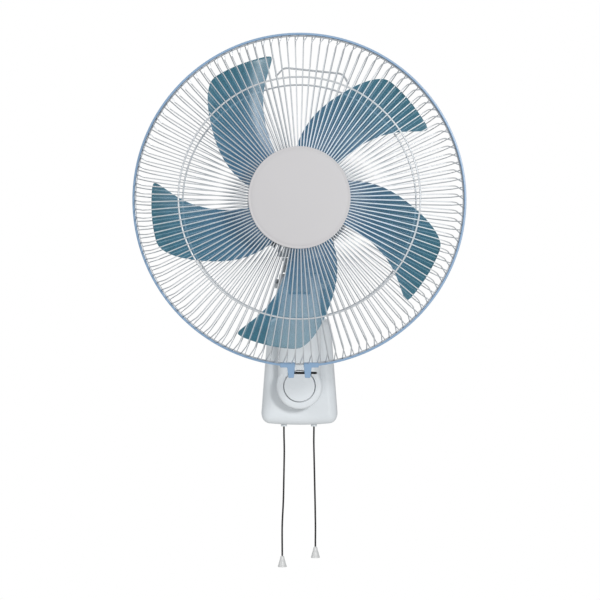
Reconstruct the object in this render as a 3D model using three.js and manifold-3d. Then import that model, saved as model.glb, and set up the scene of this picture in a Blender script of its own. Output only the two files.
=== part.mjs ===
// Wall mounted fan, 16 inch class: a base on the wall, a neck arm, a head that tilts and swings,
// a wire guard in two dishes held by a clamp band, and a five-blade impeller.
//
// Units are millimetres and +Z is up. The origin is the middle of the wall plate's back face: the wall
// is the plane y = 0, the fan blows towards -Y, and +X is to the right of someone who looks at it.
import * as THREE from 'three';
import { mergeVertices } from 'three/addons/utils/BufferGeometryUtils.js';
import Module from 'manifold-3d';

const wasm = await Module();
wasm.setup();

// ---- driving dimensions -------------------------------------------------------------------------
const AXIS_HEIGHT = 240;        // fan axis above the middle of the wall plate
const CLEAR = 0.3;              // gap between pieces that touch

// places along the fan's direction, each from the one behind it
const KNUCKLE_RADIUS = 14;      // round the tilt bolt
const TILT_REACH = 122;         // wall to the tilt bolt
const BOLT_HEAD_ROOM = 10;      // knuckle to the swing pivot, for the head of its bolt
const SWING_REACH = TILT_REACH + KNUCKLE_RADIUS + BOLT_HEAD_ROOM;
const MOTOR_OVERHANG = 42;      // swing pivot to the front bracket's face
const MOTOR_FACE = SWING_REACH + MOTOR_OVERHANG;
const RING_OVERHANG = 82;       // that face to the plane where the two guard dishes meet
const RING_REACH = MOTOR_FACE + RING_OVERHANG;
const COVER_LENGTH = 111;       // that face back to the rear of the motor cover
const COVER_REAR = MOTOR_FACE - COVER_LENGTH;

// guard
const GUARD_DIAMETER = 450;     // over the clamp band
const WIRE_COUNT = 120;         // radial wires in each dish
const WIRE_RADIUS = 1.1;        // radial wire
const RIM_WIRE_RADIUS = 2.6;    // rim wire of each dish, over its corners
const MID_RING_RADIUS = 160;    // reinforcing ring on each dish
const MID_WIRE_RADIUS = 1.2;    // its wire
const FRONT_DEPTH = 70;         // ring plane to the wires at the badge
const FRONT_SHOULDER = 58;      // ring plane to the bend where the face turns into the side wall
const SHOULDER_INSET = 18;      // that bend inside the band's outer edge, both dishes
const SHOULDER_RADIUS = GUARD_DIAMETER / 2 - SHOULDER_INSET;
const REAR_SHOULDER = 40;       // ring plane to the rear dish's bend
const WIRE_TWIST = 1.6;         // degrees that a wire turns on its way down the side wall
const RING_STEPS = WIRE_COUNT / 3;   // straight pieces in a rim
const MID_RING_STEPS = 32;           // in a reinforcing ring
const PLATE_STEPS = 20;              // and round the plates in the middle

// clamp band
const BAND_WALL = 1.5;
const BAND_LIP = 3.6;           // radial height of the channel
const BAND_GAP = 11.5;          // split between the two ears
const EAR_REACH = 26;           // middle of the fan to the outer end of an ear pad
const EAR_PAD = 6.6;            // height of the pad
const EAR_RISE = 5.7;           // top of the pad inside the band's outer edge
const EAR_DROP = 14;            // leg below the pad
const EAR_TOP_WIDTH = 10.7;     // leg at the pad
const EAR_END_WIDTH = 7.4;      // leg at its lower end
const BAND_SCREW_RADIUS = 1.7;
const BAND_SCREW_LENGTH = 38;

// badge
const BADGE_RADIUS = 67.5;
const BADGE_THICKNESS = 3;
const BADGE_CROWN = 2.2;
const HUB_PLATE_RADIUS = 64;    // steel plate behind the middle of the front wires
const HAIRPIN_RADIUS = 58;      // where the hairpin wires turn, both dishes
const HUB_PLATE_THICKNESS = 1.6;
const BADGE_STUDS = 3;
const BADGE_STUD_RADIUS = 2.5;

// impeller
const BLADE_COUNT = 5;
const BLADE_TIP_INSET = 27;     // blade tips inside the band's outer edge
const BLADE_RADIUS = GUARD_DIAMETER / 2 - BLADE_TIP_INSET;
const BLADE_THICKNESS = 2.4;
const BLADE_SETBACK = 10;       // blade middle behind the ring plane
const BLADE_PITCH_ROOT = 18;    // half of the axial height at the hub
const BLADE_PITCH_TIP = 13;     // and at the tip
const BLADE_CAMBER = 4;
const FIRST_BLADE = 61;         // azimuth of the first tip corner, degrees clockwise from up
const HUB_RADIUS = 42;
const HUB_LENGTH = 44;
const HUB_WALL = 3;
const BLADE_ROOT_INSET = 4.38;  // blade roots inside the hub's outer face
const SPINNER_RADIUS = 21;
const SPINNER_LENGTH = 24;
// radius as a share of BLADE_RADIUS, then leading and trailing edge in degrees from the tip corner
const BLADE_STATIONS = [
  [(HUB_RADIUS - BLADE_ROOT_INSET) / BLADE_RADIUS, -14, -74],
  [0.36, -15.4, -64], [0.55, -13.3, -52.7], [0.74, -8.5, -41],
  [0.92, -1.8, -31.2], [0.985, -0.2, -26.5], [1, -2, -23.5],
];

// motor
const SHAFT_RADIUS = 4;
const BRACKET_RADIUS = 48;
const BRACKET_LENGTH = 26;
const BRACKET_WALL = 4;
const STACK_RADIUS = 46;
const STACK_LENGTH = 24;
const STACK_BORE = 23;
const COIL_RADIUS = 40;
const COIL_LENGTH = 13;
const ROTOR_GAP = 0.5;          // air gap between the stator and the rotor
const NOSE_RADIUS = 18;         // threaded nose that carries the rear guard
const NOSE_LENGTH = 17;
const BEARING_RADIUS = 9;
const BEARING_LENGTH = 12;
const REAR_PLATE_RADIUS = 62;
const REAR_PLATE_THICKNESS = 1.6;
const GUARD_NUT_RADIUS = 28;
const GUARD_NUT_LENGTH = 11;
const COVER_RADIUS = 72;
const COVER_WALL = 2.2;
const COVER_VENTS = 8;
// the cover's outline from its open front to its round back: inset from COVER_RADIUS, then the
// distance from its rear as a share of COVER_LENGTH
const COVER_OUTLINE = [[0, 0.99], [3, 0.31], [11, 0.11], [26, 0.02]];
const COVER_SCREW_RADIUS = 2;
const PIN_RADIUS = 1.5;         // drive pin across the shaft

// swing
const YOKE_THICKNESS = 4;
const YOKE_WIDTH = 48;
const YOKE_LEG = 5;
const POST_RADIUS = 8;
const SPIGOT_RADIUS = 6.2;
const BOLT_RADIUS = 4;          // neck, tilt and swing bolts
const NUT_FLATS = 13;
const NUT_HEIGHT = 6.5;
const WASHER_RADIUS = 8.5;
const WASHER_THICKNESS = 1.6;
const CRANK_SETBACK = 32;       // swing pivot to the crank's shaft
const CRANK_THROW = 19;         // as the stud's offset, so that link and head stay parallel
const CRANK_HUB_RADIUS = 7.5;
const CRANK_EYE = 5;
const CRANK_THICKNESS = 4;
const CRANK_FLOOR = 0.6;        // left under the spindle's bore
const SPINDLE_RADIUS = 3;
const CRANK_PIN_RADIUS = 2.5;
const STUD_SHOULDER = 1.5;      // step on the stud that carries the link
const LINK_DROP = 3.8;          // crank's underside to the link
const LINK_THICKNESS = 3;
const OPEN_PIVOT_CLEAR = 0.5;   // round the crank pin in the link
const LINK_EYE = 4.5;
const SWING_MOTOR_RADIUS = 22;
const SWING_MOTOR_HEIGHT = 14;

// tilt and neck
const TILT_DROP = 112;          // fan axis down to the tilt bolt
const TILT_HEIGHT = AXIS_HEIGHT - TILT_DROP;
const YOKE_RISE = 38;           // tilt bolt to the underside of the yoke
const YOKE_BOTTOM = TILT_HEIGHT + YOKE_RISE;        // height of the yoke plate above the wall plate's middle
const TONGUE_WIDTH = 29.4;
const TILT_PLATE = 6;
const TILT_PLATE_WIDTH = 50;
const TILT_PLATE_RISE = 22;     // tilt bolt to the top of the plate
const NECK_TOP_WIDTH = 58;
const NECK_WIDTH = 61;
const NECK_THICKNESS = 34;
// height from the boss to the tilt bolt and reach from the wall end to the top, as shares
const ARM_STATIONS = [[0, 0], [0.27, 0], [0.48, 0.09], [0.69, 0.35], [0.86, 0.66], [1, 1]];
const BOSS_RADIUS = 33;
const BOSS_DEPTH = 32;
const BOSS_HEIGHT = -18;        // boss centre, from the middle of the wall plate
const BOSS_ROUND = 5;
const CAP_RADIUS = 22;
const CAP_THICKNESS = 4.5;
const CAP_GROOVE = 0.5;         // gap round the cap, the fine dark ring
const BOLT_POCKET = 10;         // pocket under the cap for the bolt head

// base
const BASE_TOP_WIDTH = 91;
const BASE_BOTTOM_WIDTH = 114;
const BASE_TOP = 79;
const BASE_BOTTOM = -75;
const BASE_BOW = 2;             // how far the lower edge bows down
const BASE_DEPTH = 66;
const BASE_CORNER = 14;
const BASE_ROUND = 13;          // rounding from the sides to the front
const BASE_DRAFT = 1.5;
const BASE_WALL = 2.5;
const PLATE_THICKNESS = 2.5;
const KEYHOLE_SPACING = 48;
const KEYHOLE_HEIGHT = 50;
const KEYHOLE_HEAD = 5;         // radius that passes a screw head
const KEYHOLE_SLOT = 2.6;       // half width of the slot
const KEYHOLE_LENGTH = 10;
const GROMMET_HEIGHT = 32;
const GROMMET_RADIUS = 9;
const GROMMET_BORE = 6;
const POST_SPREAD_TOP = 33;
const POST_SPREAD_BOTTOM = 42;
const POST_HEIGHT_TOP = 64;
const POST_HEIGHT_BOTTOM = -60;
const SCREW_POST_RADIUS = 4.5;
const SCREW_RADIUS = 1.8;
const SCREW_LENGTH = 14;

// pull switches, cords and bells
const CORD_REACH = 45;          // wall to both cords
const CORD_RADIUS = 1.25;
const CORD_STEP = 3;            // length of one straight piece of cord, in diameters
const SPEED_CORD_X = -22.5;
const SWING_CORD_X = 21;
const PULL_TRAVEL = 10;
const EYELET_RADIUS = 4.2;
const EYELET_FLANGE = 6;
const EYELET_BORE = 2;
const EYELET_FLANGE_THICKNESS = 1.6;
const SWITCH_WIDTH = 22;
const SWITCH_HEIGHT = 26;
const SWITCH_BOTTOM = -52;
const SWITCH_REAR = 30;         // wall to the switch's back
const SLIDER_WIDTH = 6;
const SLIDER_DEPTH = 4;
const SLIDER_DROP = 4;          // how far the slider shows below its switch
const SLIDER_LENGTH = 20;
const BELL_RADIUS = 6.5;
const BELL_HEIGHT = 16;
const BELL_WALL = 1.2;
const CAPACITOR_SIZE = [30, 16, 24];
const TERMINAL_SIZE = [26, 13, 14];

// cord routes, chosen by hand: x, z of each point, from the slider down to the bell
const SPEED_ROUTE = [[-22.5, -56.3], [-22.5, -68], [-22.5, -80], [-22.4, -92], [-22.1, -104],
  [-22, -116], [-22.2, -130], [-22.5, -146], [-22.8, -162], [-23.1, -178], [-23.6, -192],
  [-24.2, -204], [-24.8, -216], [-25.1, -228], [-25.1, -241], [-25, -253], [-24.9, -265.7]];
const SWING_ROUTE = [[21, -56.3], [21, -68], [21, -80], [20.9, -90], [20.8, -100], [21, -112],
  [21.3, -125], [21.6, -139], [21.9, -153], [22.2, -167], [22.5, -181], [22.8, -195],
  [23, -208], [23.2, -221], [23.2, -233], [23.1, -243], [23.1, -252.4]];

// ---- colours ------------------------------------------------------------------------------------
const finish = (color, roughness, metalness, extra = {}) =>
  new THREE.MeshStandardMaterial({ color, roughness, metalness, ...extra });
const WHITE_ABS = finish('#dfe3e7', 0.4, 0);
const GREY_ABS = finish('#8d9296', 0.55, 0);
const BLUE_BAND = finish('#7fa6cb', 0.4, 0);
const BLUE_BLADE = finish('#4e85a3', 0.3, 0, { transparent: true, opacity: 0.85 });
const WIRE_STEEL = finish('#c9cccf', 0.3, 0.9);
const BADGE_SILVER = finish('#cdcbcc', 0.45, 0.3);
const ZINC_STEEL = finish('#a9adb0', 0.35, 0.9);
const BLACK_STEEL = finish('#2a2a2b', 0.5, 0.7);
const DIE_CAST = finish('#9a9da0', 0.5, 0.8);
const LAMINATION = finish('#55585b', 0.5, 0.7);
const COPPER = finish('#a85f33', 0.4, 0.8);
const BRONZE = finish('#a8854b', 0.4, 0.8);
const RUBBER = finish('#232426', 0.8, 0);
const BLACK_CORD = finish('#1b1b1b', 0.9, 0);
const CLEAR_PLASTIC = finish('#e6ebee', 0.3, 0, { transparent: true, opacity: 0.8 });

// ---- working tools ------------------------------------------------------------------------------
const RIGHT_ANGLE = Math.PI / 2;
const radians = THREE.MathUtils.degToRad;

// A closed three.js geometry as a solid for cutting and joining, its faces turned outwards.
function solid(geometry) {
  const bare = geometry.clone();
  bare.deleteAttribute('normal');
  bare.deleteAttribute('uv');
  const merged = mergeVertices(bare, 1e-4);
  const at = merged.attributes.position;
  const corner = [0, 1, 2].map(() => new THREE.Vector3());
  const triangles = [];
  let volume = 0;
  for (let i = 0; i < merged.index.count; i += 3) {
    const [a, b, c] = [0, 1, 2].map((k) => merged.index.getX(i + k));
    if (a === b || b === c || c === a) continue;
    triangles.push([a, b, c]);
    [a, b, c].forEach((v, k) => corner[k].fromBufferAttribute(at, v));
    volume += corner[0].dot(corner[1].cross(corner[2]));
  }
  const triVerts = new Uint32Array(triangles.flatMap(([a, b, c]) => (volume < 0 ? [a, c, b] : [a, b, c])));
  const vertProperties = new Float32Array(at.array);
  return new wasm.Manifold(new wasm.Mesh({ numProp: 3, vertProperties, triVerts }));
}

function mesh(name, body, material) {
  const made = body.isBufferGeometry ? solid(body) : body;
  const { vertProperties, triVerts } = made.getMesh();
  const geometry = new THREE.BufferGeometry();
  geometry.setAttribute('position', new THREE.BufferAttribute(Float32Array.from(vertProperties), 3));
  geometry.setIndex(new THREE.BufferAttribute(Uint32Array.from(triVerts), 1));
  const shown = geometry.toNonIndexed();
  shown.computeVertexNormals();
  const node = new THREE.Mesh(shown, material);
  node.name = name;
  return node;
}

const join = (...geometries) => geometries.map(solid).reduce((a, b) => a.add(b));
const cut = (body, ...geometries) => geometries.map(solid).reduce((a, b) => a.subtract(b), body);

// Revolved about the fan's direction: each point is a radius and a distance from the wall.
function turned(points, steps = 20) {
  const profile = points.map(([radius, reach]) => new THREE.Vector2(radius, -reach));
  return new THREE.LatheGeometry(profile, steps);
}

// A ring whose section does not touch the axis: the profile closes on itself.
const turnedRing = (points, steps) => turned([...points, points[0]], steps);

// A plain round bar along the fan's direction, from one reach to another.
const rod = (radius, from, to, steps = 12) =>
  turned([[0, from], [radius, from], [radius, to], [0, to]], steps);

// A bar across the fan (along X) or upright (along Z), from one place to another.
const crossRod = (radius, from, to, steps = 12) => rod(radius, from, to, steps).rotateZ(RIGHT_ANGLE);
const uprightRod = (radius, from, to, steps = 12) => rod(radius, -from, -to, steps).rotateX(RIGHT_ANGLE);

function block(width, depth, height, x, y, z) {
  return new THREE.BoxGeometry(width, depth, height).translate(x, y, z);
}

// An outline seen from the front (x, z), from one reach to a larger one.
function frontPlate(shape, from, to, curveSegments = 5) {
  const settings = { depth: to - from, bevelEnabled: false, curveSegments };
  return new THREE.ExtrudeGeometry(shape, settings).rotateX(RIGHT_ANGLE).translate(0, -from, 0);
}

// An outline seen from the side (y, z), centred on the middle plane.
function sidePlate(shape, width, curveSegments = 8) {
  const settings = { depth: width, bevelEnabled: false, curveSegments };
  const plate = new THREE.ExtrudeGeometry(shape, settings);
  return plate.rotateX(RIGHT_ANGLE).rotateZ(RIGHT_ANGLE).translate(-width / 2, 0, 0);
}

// An outline seen from above (x, y), standing on a height.
function topPlate(shape, thickness, height, curveSegments = 4) {
  const settings = { depth: thickness, bevelEnabled: false, curveSegments };
  return new THREE.ExtrudeGeometry(shape, settings).translate(0, 0, height);
}

function circleShape(radius, x = 0, y = 0) {
  const shape = new THREE.Shape();
  shape.absarc(x, y, radius, 0, 2 * Math.PI, false);
  return shape;
}

function roundedShape(width, height, radius, x = 0, y = 0) {
  const [right, top] = [width / 2 - radius, height / 2 - radius];
  const shape = new THREE.Shape();
  shape.absarc(x + right, y - top, radius, -RIGHT_ANGLE, 0, false);
  shape.absarc(x + right, y + top, radius, 0, RIGHT_ANGLE, false);
  shape.absarc(x - right, y + top, radius, RIGHT_ANGLE, 2 * RIGHT_ANGLE, false);
  shape.absarc(x - right, y - top, radius, 2 * RIGHT_ANGLE, 3 * RIGHT_ANGLE, false);
  return shape;
}

// A regular outline, its first corner half a step round where flat is set.
function polygonShape(sides, radius, flat = 0) {
  const corner = (i) => radians((360 / sides) * (i + flat));
  const points = Array.from({ length: sides }, (_, i) =>
    new THREE.Vector2(radius * Math.cos(corner(i)), radius * Math.sin(corner(i))));
  return new THREE.Shape(points);
}

const hexShape = (flats) => polygonShape(6, flats / Math.sqrt(3));

// A skin over a row of rings with the same even number of points, closed by a strip at both ends.
function loft(rings) {
  const count = rings[0].length;
  const position = rings.flat().flatMap((p) => [p.x, p.y, p.z]);
  const index = [];
  const quad = (a, b, c, d) => index.push(a, b, c, a, c, d);
  for (let k = 0; k < rings.length - 1; k++) {
    for (let i = 0; i < count; i++) {
      const next = (i + 1) % count;
      quad(k * count + i, k * count + next, (k + 1) * count + next, (k + 1) * count + i);
    }
  }
  const last = (rings.length - 1) * count;
  for (let i = 0; i < count / 2 - 1; i++) {
    const opposite = count - 1 - i;
    quad(opposite, opposite - 1, i + 1, i);
    quad(last + i, last + i + 1, last + opposite - 1, last + opposite);
  }
  const geometry = new THREE.BufferGeometry();
  geometry.setAttribute('position', new THREE.Float32BufferAttribute(position, 3));
  geometry.setIndex(index);
  return geometry;
}

// A bent wire: straight from knot to knot, with one ring of the section at each knot.
class WireRoute extends THREE.Curve {
  constructor(knots) {
    super();
    this.knots = knots;
  }

  getPoint(t, target = new THREE.Vector3()) {
    const place = t * (this.knots.length - 1);
    const i = Math.min(Math.floor(place), this.knots.length - 2);
    return target.lerpVectors(this.knots[i], this.knots[i + 1], place - i);
  }

  getPointAt(t, target) {
    return this.getPoint(t, target);
  }

  getTangentAt(t, target) {
    return this.getTangent(t, target);
  }
}

function wire(knots, radius, sides) {
  const settings = { steps: knots.length - 1, extrudePath: new WireRoute(knots), bevelEnabled: false };
  return new THREE.ExtrudeGeometry(polygonShape(sides, radius, 0.5), settings);
}

// A point on the fan: radius, distance from the wall, and azimuth clockwise from the top.
function onFan(radius, reach, azimuth) {
  const angle = radians(azimuth);
  return new THREE.Vector3(radius * Math.sin(angle), -reach, radius * Math.cos(angle));
}

const atAxis = (geometry) => geometry.translate(0, 0, AXIS_HEIGHT);

// ---- base ---------------------------------------------------------------------------------------
// The housing's outline at one depth: a trapezoid with round corners, narrower at the top, drawn
// inwards by inset, its lower edge bowed.
function baseRing(inset, reach) {
  const slope = (BASE_BOTTOM_WIDTH - BASE_TOP_WIDTH) / 2 / (BASE_TOP - BASE_BOTTOM);
  const top = BASE_TOP - inset;
  const bottom = BASE_BOTTOM + inset;
  const radius = Math.max(BASE_CORNER - inset, 2);
  const half = (z) => BASE_TOP_WIDTH / 2 + (BASE_TOP - z) * slope - inset;
  const corner = (x, z, from) => Array.from({ length: 4 }, (_, i) => {
    const angle = radians(from + 30 * i);
    return [x + radius * Math.cos(angle), z + radius * Math.sin(angle)];
  });
  const topSide = half(top - radius) - radius;
  const bottomSide = half(bottom + radius) - radius;
  const outline = [
    ...corner(topSide, top - radius, 0), ...corner(-topSide, top - radius, 90),
    ...corner(-bottomSide, bottom + radius, 180),
    ...[-0.5, 0, 0.5].map((share) => [bottomSide * share, bottom]),
    ...corner(bottomSide, bottom + radius, 270), [half(0), 0],
  ];
  const bow = (x, z) => (z < 0 ? (BASE_BOW * z / BASE_BOTTOM) * (1 - (x / bottomSide) ** 2) : 0);
  return outline.map(([x, z]) => new THREE.Vector3(x, -reach, z - Math.max(bow(x, z), 0)));
}

function baseForm(inset, rear) {
  const rounding = [0, 45, 90].map(radians).map((turn) => [
    BASE_DRAFT + BASE_ROUND * (1 - Math.cos(turn)), BASE_DEPTH - BASE_ROUND * (1 - Math.sin(turn)),
  ]);
  const rings = [[0, rear], ...rounding].map(([step, reach]) =>
    baseRing(inset + step, reach > rear ? reach - inset : reach));
  return loft(rings);
}

function screwPosts() {
  return [
    [-POST_SPREAD_TOP, POST_HEIGHT_TOP], [POST_SPREAD_TOP, POST_HEIGHT_TOP],
    [-POST_SPREAD_BOTTOM, POST_HEIGHT_BOTTOM], [POST_SPREAD_BOTTOM, POST_HEIGHT_BOTTOM],
  ];
}

const BASE_FRONT_INSIDE = BASE_DEPTH - BASE_WALL;

function baseHousing() {
  const rim = 0.5;
  const outside = solid(baseForm(0, rim));
  let body = outside.subtract(solid(baseForm(BASE_WALL, rim - 1)));
  for (const [x, z] of screwPosts()) {
    const post = rod(SCREW_POST_RADIUS, PLATE_THICKNESS + CLEAR, BASE_DEPTH, 6).translate(x, 0, z);
    body = body.add(solid(post).intersect(outside));
  }
  for (const [x, z] of screwPosts()) {
    const pilot = rod(SCREW_RADIUS + CLEAR, 0, SCREW_LENGTH + PLATE_THICKNESS, 6);
    body = body.subtract(solid(pilot.translate(x, 0, z)));
  }
  const boltHole = rod(BOLT_RADIUS + CLEAR, BASE_FRONT_INSIDE - 1, BASE_DEPTH + 1);
  const cordHoles = [SPEED_CORD_X, SWING_CORD_X].map((x) => {
    const hole = uprightRod(EYELET_RADIUS + CLEAR, BASE_BOTTOM - 3 * BASE_BOW, BASE_BOTTOM + 3 * BASE_WALL);
    return hole.translate(x, -CORD_REACH, 0);
  });
  return mesh('base_housing', cut(body, boltHole.translate(0, 0, BOSS_HEIGHT), ...cordHoles), WHITE_ABS);
}

function wallPlate() {
  const outline = baseRing(BASE_WALL + CLEAR + 0.2, 0).map((p) => new THREE.Vector2(p.x, p.z));
  const shape = new THREE.Shape(outline);
  for (const side of [-1, 1]) {
    const x = side * KEYHOLE_SPACING / 2;
    const slotTop = KEYHOLE_HEIGHT + KEYHOLE_LENGTH;
    const spread = Math.asin(KEYHOLE_SLOT / KEYHOLE_HEAD);
    const hole = new THREE.Path();
    hole.absarc(x, slotTop, KEYHOLE_SLOT, 0, Math.PI, false);
    hole.absarc(x, KEYHOLE_HEIGHT, KEYHOLE_HEAD, RIGHT_ANGLE + spread, 5 * RIGHT_ANGLE - spread, false);
    shape.holes.push(hole);
  }
  shape.holes.push(circleShape(KEYHOLE_SLOT, 0, POST_HEIGHT_BOTTOM));
  shape.holes.push(circleShape(GROMMET_RADIUS + 2 * CLEAR, 0, GROMMET_HEIGHT));
  const countersinks = screwPosts().map(([x, z]) => plateScrewForm(CLEAR).translate(x, 0, z));
  const plate = solid(frontPlate(shape, 0, PLATE_THICKNESS, 6));
  return mesh('wall_plate', cut(plate, ...countersinks), ZINC_STEEL);
}

// Countersunk screw from behind, grown by a clearance when it is used to cut its own hole.
function plateScrewForm(grown) {
  const head = 2 * SCREW_RADIUS;
  const start = grown > 0 ? -1 : 0.2;
  return turned([
    [0, start], [head + grown, start], [head + grown, 0.4 + grown], [SCREW_RADIUS + grown, 2.2 + grown],
    [SCREW_RADIUS + grown, SCREW_LENGTH + grown], [0, SCREW_LENGTH + grown],
  ], 6);
}

function plateScrews() {
  return screwPosts().map(([x, z], i) =>
    mesh(`plate_screw_${i + 1}`, plateScrewForm(0).translate(x, 0, z), ZINC_STEEL));
}

function wireGrommet() {
  const front = PLATE_THICKNESS + CLEAR;
  const ring = turnedRing([
    [GROMMET_BORE, 0.1], [GROMMET_RADIUS, 0.1], [GROMMET_RADIUS, front],
    [GROMMET_RADIUS + 3, front], [GROMMET_RADIUS + 3, front + 2.5], [GROMMET_BORE, front + 2.5],
  ], 12);
  return mesh('wire_grommet', ring.translate(0, 0, GROMMET_HEIGHT), RUBBER);
}

// Inner parts that sit against the inside of the housing's front.
function capacitor() {
  const [width, depth, height] = CAPACITOR_SIZE;
  const reach = BASE_FRONT_INSIDE - CLEAR - depth;
  const box = frontPlate(roundedShape(width, height, 3), reach, reach + depth, 3);
  return mesh('motor_capacitor', box.translate(-width / 2 - 2, 0, height / 2 + 2), GREY_ABS);
}

function terminalBlock() {
  const [width, depth, height] = TERMINAL_SIZE;
  const front = BASE_FRONT_INSIDE - CLEAR;
  const [x, z] = [width / 2 + 4, height / 2 + 4];
  const body = join(
    block(width, depth, height, x, -front + depth / 2, z),
    ...[-1, 0, 1].map((k) => block(width / 4, 3, height - 4, x + k * width / 3.2, -front + depth + 1, z)),
  );
  const screws = [-1, 0, 1].map((k) => rod(2, 0, front - depth, 6).translate(x + k * width / 3.2, 0, z));
  return mesh('terminal_block', cut(body, ...screws), WHITE_ABS);
}

// ---- pull switches ------------------------------------------------------------------------------
function switchBody(name, x) {
  const front = BASE_FRONT_INSIDE - CLEAR;
  const body = block(SWITCH_WIDTH, front - SWITCH_REAR, SWITCH_HEIGHT,
    x, -(front + SWITCH_REAR) / 2, SWITCH_BOTTOM + SWITCH_HEIGHT / 2);
  const slotTop = SWITCH_BOTTOM + SLIDER_LENGTH;
  const slot = block(SLIDER_WIDTH + 2 * CLEAR, SLIDER_DEPTH + 2 * CLEAR, slotTop - SWITCH_BOTTOM + 5,
    x, -CORD_REACH, (slotTop + SWITCH_BOTTOM - 5) / 2);
  const tabs = [-1, 1].map((side) =>
    block(2, 8, 5, x + side * SWITCH_WIDTH / 3, -SWITCH_REAR - 8, SWITCH_BOTTOM + SWITCH_HEIGHT + 2));
  return mesh(name, cut(solid(body), slot).add(join(...tabs)), GREY_ABS);
}

function slider(name, x) {
  const bottom = SWITCH_BOTTOM - SLIDER_DROP;
  const top = SWITCH_BOTTOM + SLIDER_LENGTH - CLEAR;
  const bar = block(SLIDER_WIDTH, SLIDER_DEPTH, top - bottom, x, -CORD_REACH, (top + bottom) / 2);
  return mesh(name, bar, WHITE_ABS);
}

function eyelet(name, x) {
  const wall = BASE_BOTTOM - BASE_BOW;
  const low = wall - CLEAR - EYELET_FLANGE_THICKNESS;
  const profile = [
    [EYELET_BORE, low], [EYELET_FLANGE, low], [EYELET_FLANGE, wall - CLEAR], [EYELET_RADIUS, wall - CLEAR],
    [EYELET_RADIUS, wall + BASE_WALL + 3], [EYELET_BORE, wall + BASE_WALL + 3],
  ];
  const ring = turnedRing(profile.map(([radius, z]) => [radius, -z]), 12).rotateX(RIGHT_ANGLE);
  return mesh(name, ring.translate(x, -CORD_REACH, 0), WHITE_ABS);
}

function cord(name, route) {
  const knots = route.map(([x, z]) => new THREE.Vector3(x, -CORD_REACH, z));
  const curve = new THREE.CatmullRomCurve3(knots);
  const steps = Math.ceil(curve.getLength() / (CORD_STEP * 2 * CORD_RADIUS));
  const settings = { steps, extrudePath: curve, bevelEnabled: false };
  return mesh(name, new THREE.ExtrudeGeometry(polygonShape(8, CORD_RADIUS), settings), BLACK_CORD);
}

// The bell hangs under the end of its cord, open below.
function bell(name, route) {
  const [x, z] = route.at(-1);
  const top = z - CLEAR;
  const profile = [
    [0, top], [2.4, top - 0.4], [3.2, top - 2.5], [4.6, top - BELL_HEIGHT * 0.45],
    [BELL_RADIUS, top - BELL_HEIGHT], [BELL_RADIUS - BELL_WALL, top - BELL_HEIGHT],
    [4.6 - BELL_WALL, top - BELL_HEIGHT * 0.45], [2, top - 4], [0, top - 4],
  ];
  const body = turned(profile.map(([radius, height]) => [radius, -height]), 12).rotateX(RIGHT_ANGLE);
  return mesh(name, body.translate(x, -CORD_REACH, 0), CLEAR_PLASTIC);
}

// ---- neck ---------------------------------------------------------------------------------------
const BOSS_REAR = BASE_DEPTH + CLEAR;
const BOSS_FRONT = BOSS_REAR + BOSS_DEPTH;
const CAP_SEAT = BOSS_FRONT - CAP_THICKNESS - CLEAR;
const BOLT_SEAT = CAP_SEAT - BOLT_POCKET;

// The arm's section at one place: a rounded bar, square to the arm.
function armRing(place, lean, width, thickness) {
  const radius = Math.min(thickness, width) * 0.42;
  const shape = roundedShape(width, thickness, radius);
  const points = shape.getPoints(3).slice(0, 16);
  return points.map((p) => new THREE.Vector3(p.x, p.y, 0)
    .applyAxisAngle(new THREE.Vector3(1, 0, 0), lean).add(place));
}

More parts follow.
